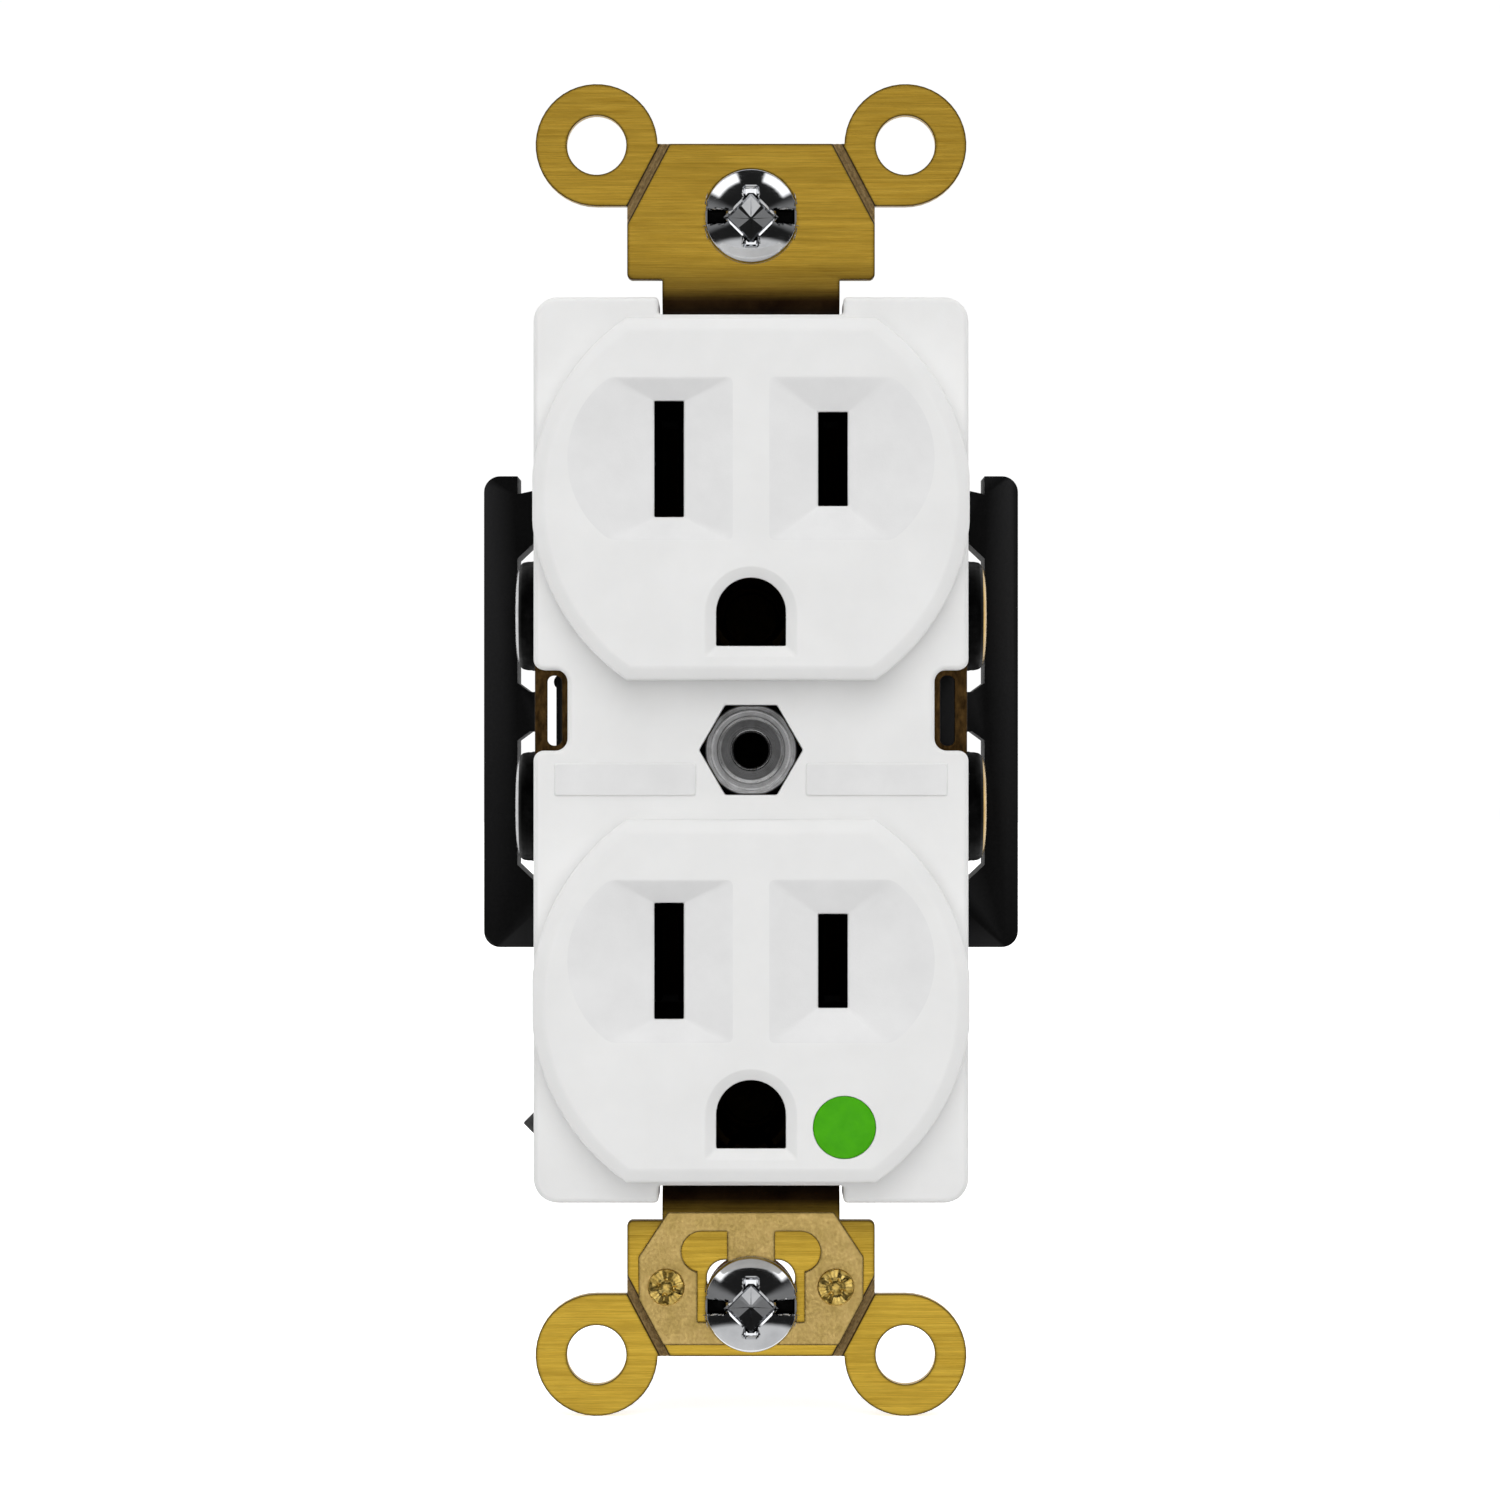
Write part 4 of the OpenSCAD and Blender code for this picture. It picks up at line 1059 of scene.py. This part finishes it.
def staked_rivet(bm, x, z, turn):
    """A rivet head crushed by a star-shaped punch."""
    front = CLIP_FRONT
    rings = []
    steps = 96
    for r in (0.9, 1.30, 1.41, 1.44, 1.42, 1.36, 1.27, 1.15, 1.0, 0.85, 0.7, 0.58, 0.48, 0.38, 0.25, 0.12):
        ring = []
        first = len(rings)
        for k in range(steps):
            a = math.tau * k / steps
            if first == 0:
                y = 0.2
            elif first < 4:
                y = (0.1, -0.04, -0.12)[first - 1]
            else:
                wave = 0.5 + 0.5 * math.cos(4 * a + turn)  # four lobes
                ripple = 0.5 + 0.5 * math.cos(11 * a + 2.1 * turn)
                star = max(0.0, wave - 0.55) / 0.45
                bite = star * max(0.0, min(1.0, (r - 0.35) / 0.2)) * max(0.0, min(1.0, (1.38 - r) / 0.2))
                ring_dent = math.exp(-((r - 0.55) / 0.11) ** 2)
                y = -0.29 + 0.17 * bite + 0.10 * ring_dent + 0.035 * ripple * min(1, r)
                y = max(-0.295, y)
                if first == 4:
                    y = -0.2
            ring.append((x + r * math.cos(a), front + y, z + r * math.sin(a)))
        rings.append(ring)
    loft(rings, bm)
    shank = []
    for r, y in ((0.86, -1.75), (0.86, 0.1), (1.26, 0.12), (1.3, 0.2), (1.26, 0.38), (1.05, 0.5)):
        turns = [math.tau * k / 48 for k in range(48)]
        shank.append(at_y([(r * math.cos(a), r * math.sin(a)) for a in turns], y, x, z))
    loft(shank, bm)


def clip_rivets():
    bm = bmesh.new()
    staked_rivet(bm, -CLIP_RIVET_X, CLIP_RIVET_Z, 0.6)
    staked_rivet(bm, CLIP_RIVET_X, CLIP_RIVET_Z, 2.4)
    rivets = to_object("staked_rivets", bm)
    place(rivets, [RIVET], BODY, "clip_rivets", "rivet_brass", 50)


face_cover()
inlay_dot()
dress("back_body", BLACK, 0.22, 3)
dress_sheet("mounting_strap", BRASS)
dress_sheet("self_ground_clip", SPRING)
clip_rivets()
hex_post()
ground_screw()
box_screw("top", TOP_SCREW_Z, TOP_SCREW_SEAT)
box_screw("bottom", BOTTOM_SCREW_Z, BOTTOM_SCREW_SEAT)
dress("neutral_contacts", CONTACT, 0.06)
dress("line_contacts", CONTACT, 0.06)
dress("upper_ground_contact", INNER_BRASS, 0.05)
dress("lower_ground_contact", INNER_BRASS, 0.05)
dress("ground_contact_rivets", INNER_BRASS, 0.15, 3)
dress("body_screws", DARK_STEEL, 0.12)
for side in ("neutral", "line"):
    for level in ("upper", "lower"):
        terminal_screw(side, level)
        dress(f"{side}_clamp_{level}", ZINC, 0.15)
dress("ground_clamp_plate", ZINC, 0.15)
for level in ("top", "bottom"):
    dress(f"{level}_screw_washer", FIBRE, 0.08)


# ---------- floor, light and camera ----------

SPOT_LIGHT, SPOT_INNER, SPOT_OUTER, SPOT_DROP = 1.25, 0.975, 0.93, 0.12
WINDOW_LIGHT, LOW_LIGHT, SIDE_LIGHT, BACK_LIGHT, DIM_LIGHT = 1.5, 0.66, 0.20, 0.9, 0.015
LENS, CAMERA_DISTANCE, CAMERA_SHIFT = 148.95, 0.4876, -1 / 1500


def stage():
    bm = bmesh.new()
    floor_z = cad_box[0][2] / MM - 0.01
    bmesh.ops.create_grid(bm, x_segments=8, y_segments=8, size=4000)
    for vertex in bm.verts:
        vertex.co.z = floor_z
    floor = to_object("floor", bm)
    for vertex in floor.data.vertices:
        vertex.co = vertex.co * MM
    s = Surface("floor_white").fixed(specular=0.1)
    s.colour(s.mix(s.spread(s.grain(6), 0, 1), (0.93, 0.93, 0.93), (0.95, 0.95, 0.95)))
    s.roughness(s.spread(s.grain(40), 0.8, 0.95))
    s.shader.inputs["Emission Color"].default_value = (1, 1, 1, 1)
    s.shader.inputs["Emission Strength"].default_value = 0.56
    floor.data.materials.append(s.material)
    floor.visible_glossy = floor.visible_diffuse = False
    floor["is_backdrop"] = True


def world():
    """A white sky for the camera. The object is lit by a pale room with two bright windows at the
    upper left and right, a bright spot behind the camera and a darker ring around that spot."""
    sky = bpy.data.worlds.new("studio")
    scene.world = sky
    sky.use_nodes = True
    tree = sky.node_tree
    tree.nodes.clear()

    def node(kind, **settings):
        made = tree.nodes.new(kind)
        for key, value in settings.items():
            setattr(made, key, value)
        return made

    def math_node(operation, a, b=0.0):
        made = node("ShaderNodeMath", operation=operation)
        for k, value in enumerate((a, b)):
            if isinstance(value, bpy.types.NodeSocket):
                tree.links.new(value, made.inputs[k])
            else:
                made.inputs[k].default_value = value
        return made.outputs[0]

    def smooth(value, low, high, start=0.0, end=1.0):
        made = node("ShaderNodeMapRange", interpolation_type="SMOOTHSTEP")
        tree.links.new(value, made.inputs["Value"])
        for key, number in (("From Min", low), ("From Max", high), ("To Min", start), ("To Max", end)):
            made.inputs[key].default_value = number
        return made.outputs["Result"]

    split = node("ShaderNodeSeparateXYZ")
    tree.links.new(node("ShaderNodeTexCoord").outputs["Generated"], split.inputs[0])
    x, y, z = (split.outputs[k] for k in "XYZ")
    turn = math_node("ARCTAN2", math_node("ABSOLUTE", x), z)
    lowered = math_node("ADD", math_node("MULTIPLY", z, SPOT_DROP), y)
    spot = smooth(lowered, -SPOT_INNER, -SPOT_OUTER, SPOT_LIGHT, 0)
    window = math_node("MULTIPLY", smooth(turn, 0.26, 0.34), smooth(turn, 0.92, 1.04, 1, 0))
    window = math_node("MULTIPLY", window, smooth(y, -0.50, -0.40))
    window = math_node("MULTIPLY", window, smooth(y, -0.16, -0.10, WINDOW_LIGHT, 0))
    sides = math_node("MULTIPLY", smooth(turn, 1.0, 1.3), smooth(turn, 1.75, 1.95, SIDE_LIGHT, 0))
    below = math_node("MULTIPLY", smooth(z, -0.62, -0.50, LOW_LIGHT, 0), smooth(y, 0.2, 0.5, 1, 0))
    beyond = smooth(y, -0.10, 0.03, 0, BACK_LIGHT)
    total = math_node("ADD", math_node("ADD", spot, window), math_node("ADD", below, beyond))
    total = math_node("ADD", total, sides)
    total = math_node("ADD", total, DIM_LIGHT)
    lit = node("ShaderNodeBackground")
    tree.links.new(total, lit.inputs["Color"])
    seen = node("ShaderNodeBackground")
    seen.inputs["Strength"].default_value = 1.02
    seen.inputs["Color"].default_value = (1, 1, 1, 1)
    mix = node("ShaderNodeMixShader")
    tree.links.new(node("ShaderNodeLightPath").outputs["Is Camera Ray"], mix.inputs[0])
    tree.links.new(lit.outputs[0], mix.inputs[1])
    tree.links.new(seen.outputs[0], mix.inputs[2])
    tree.links.new(mix.outputs[0], node("ShaderNodeOutputWorld").inputs["Surface"])


def sun(name, direction, strength, angle):
    light = bpy.data.lights.new(name, "SUN")
    light.energy = strength
    light.angle = math.radians(angle)
    obj = bpy.data.objects.new(name, light)
    scene.collection.objects.link(obj)
    obj.rotation_euler = Vector(direction).to_track_quat("-Z", "Y").to_euler()
    obj.visible_glossy = False


def camera():
    data = bpy.data.cameras.new("camera")
    data.lens = LENS
    data.sensor_width = 36
    data.shift_x = CAMERA_SHIFT
    data.clip_start = 0.01
    obj = bpy.data.objects.new("camera", data)
    scene.collection.objects.link(obj)
    obj.location = (0, -CAMERA_DISTANCE, 0)
    obj.rotation_euler = (math.radians(90), 0, 0)
    scene.camera = obj


stage()
world()
sun("key", (0.0, 0.90, -0.43), 1.5, 60)
sun("top", (0.0, 0.50, -0.87), 0.5, 60)
sun("low", (0.0, 0.80, 0.60), 0.36, 70)
camera()
scene.view_settings.view_transform = "Standard"

[[list(corner) for corner in box] for box in (cad_box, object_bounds())]
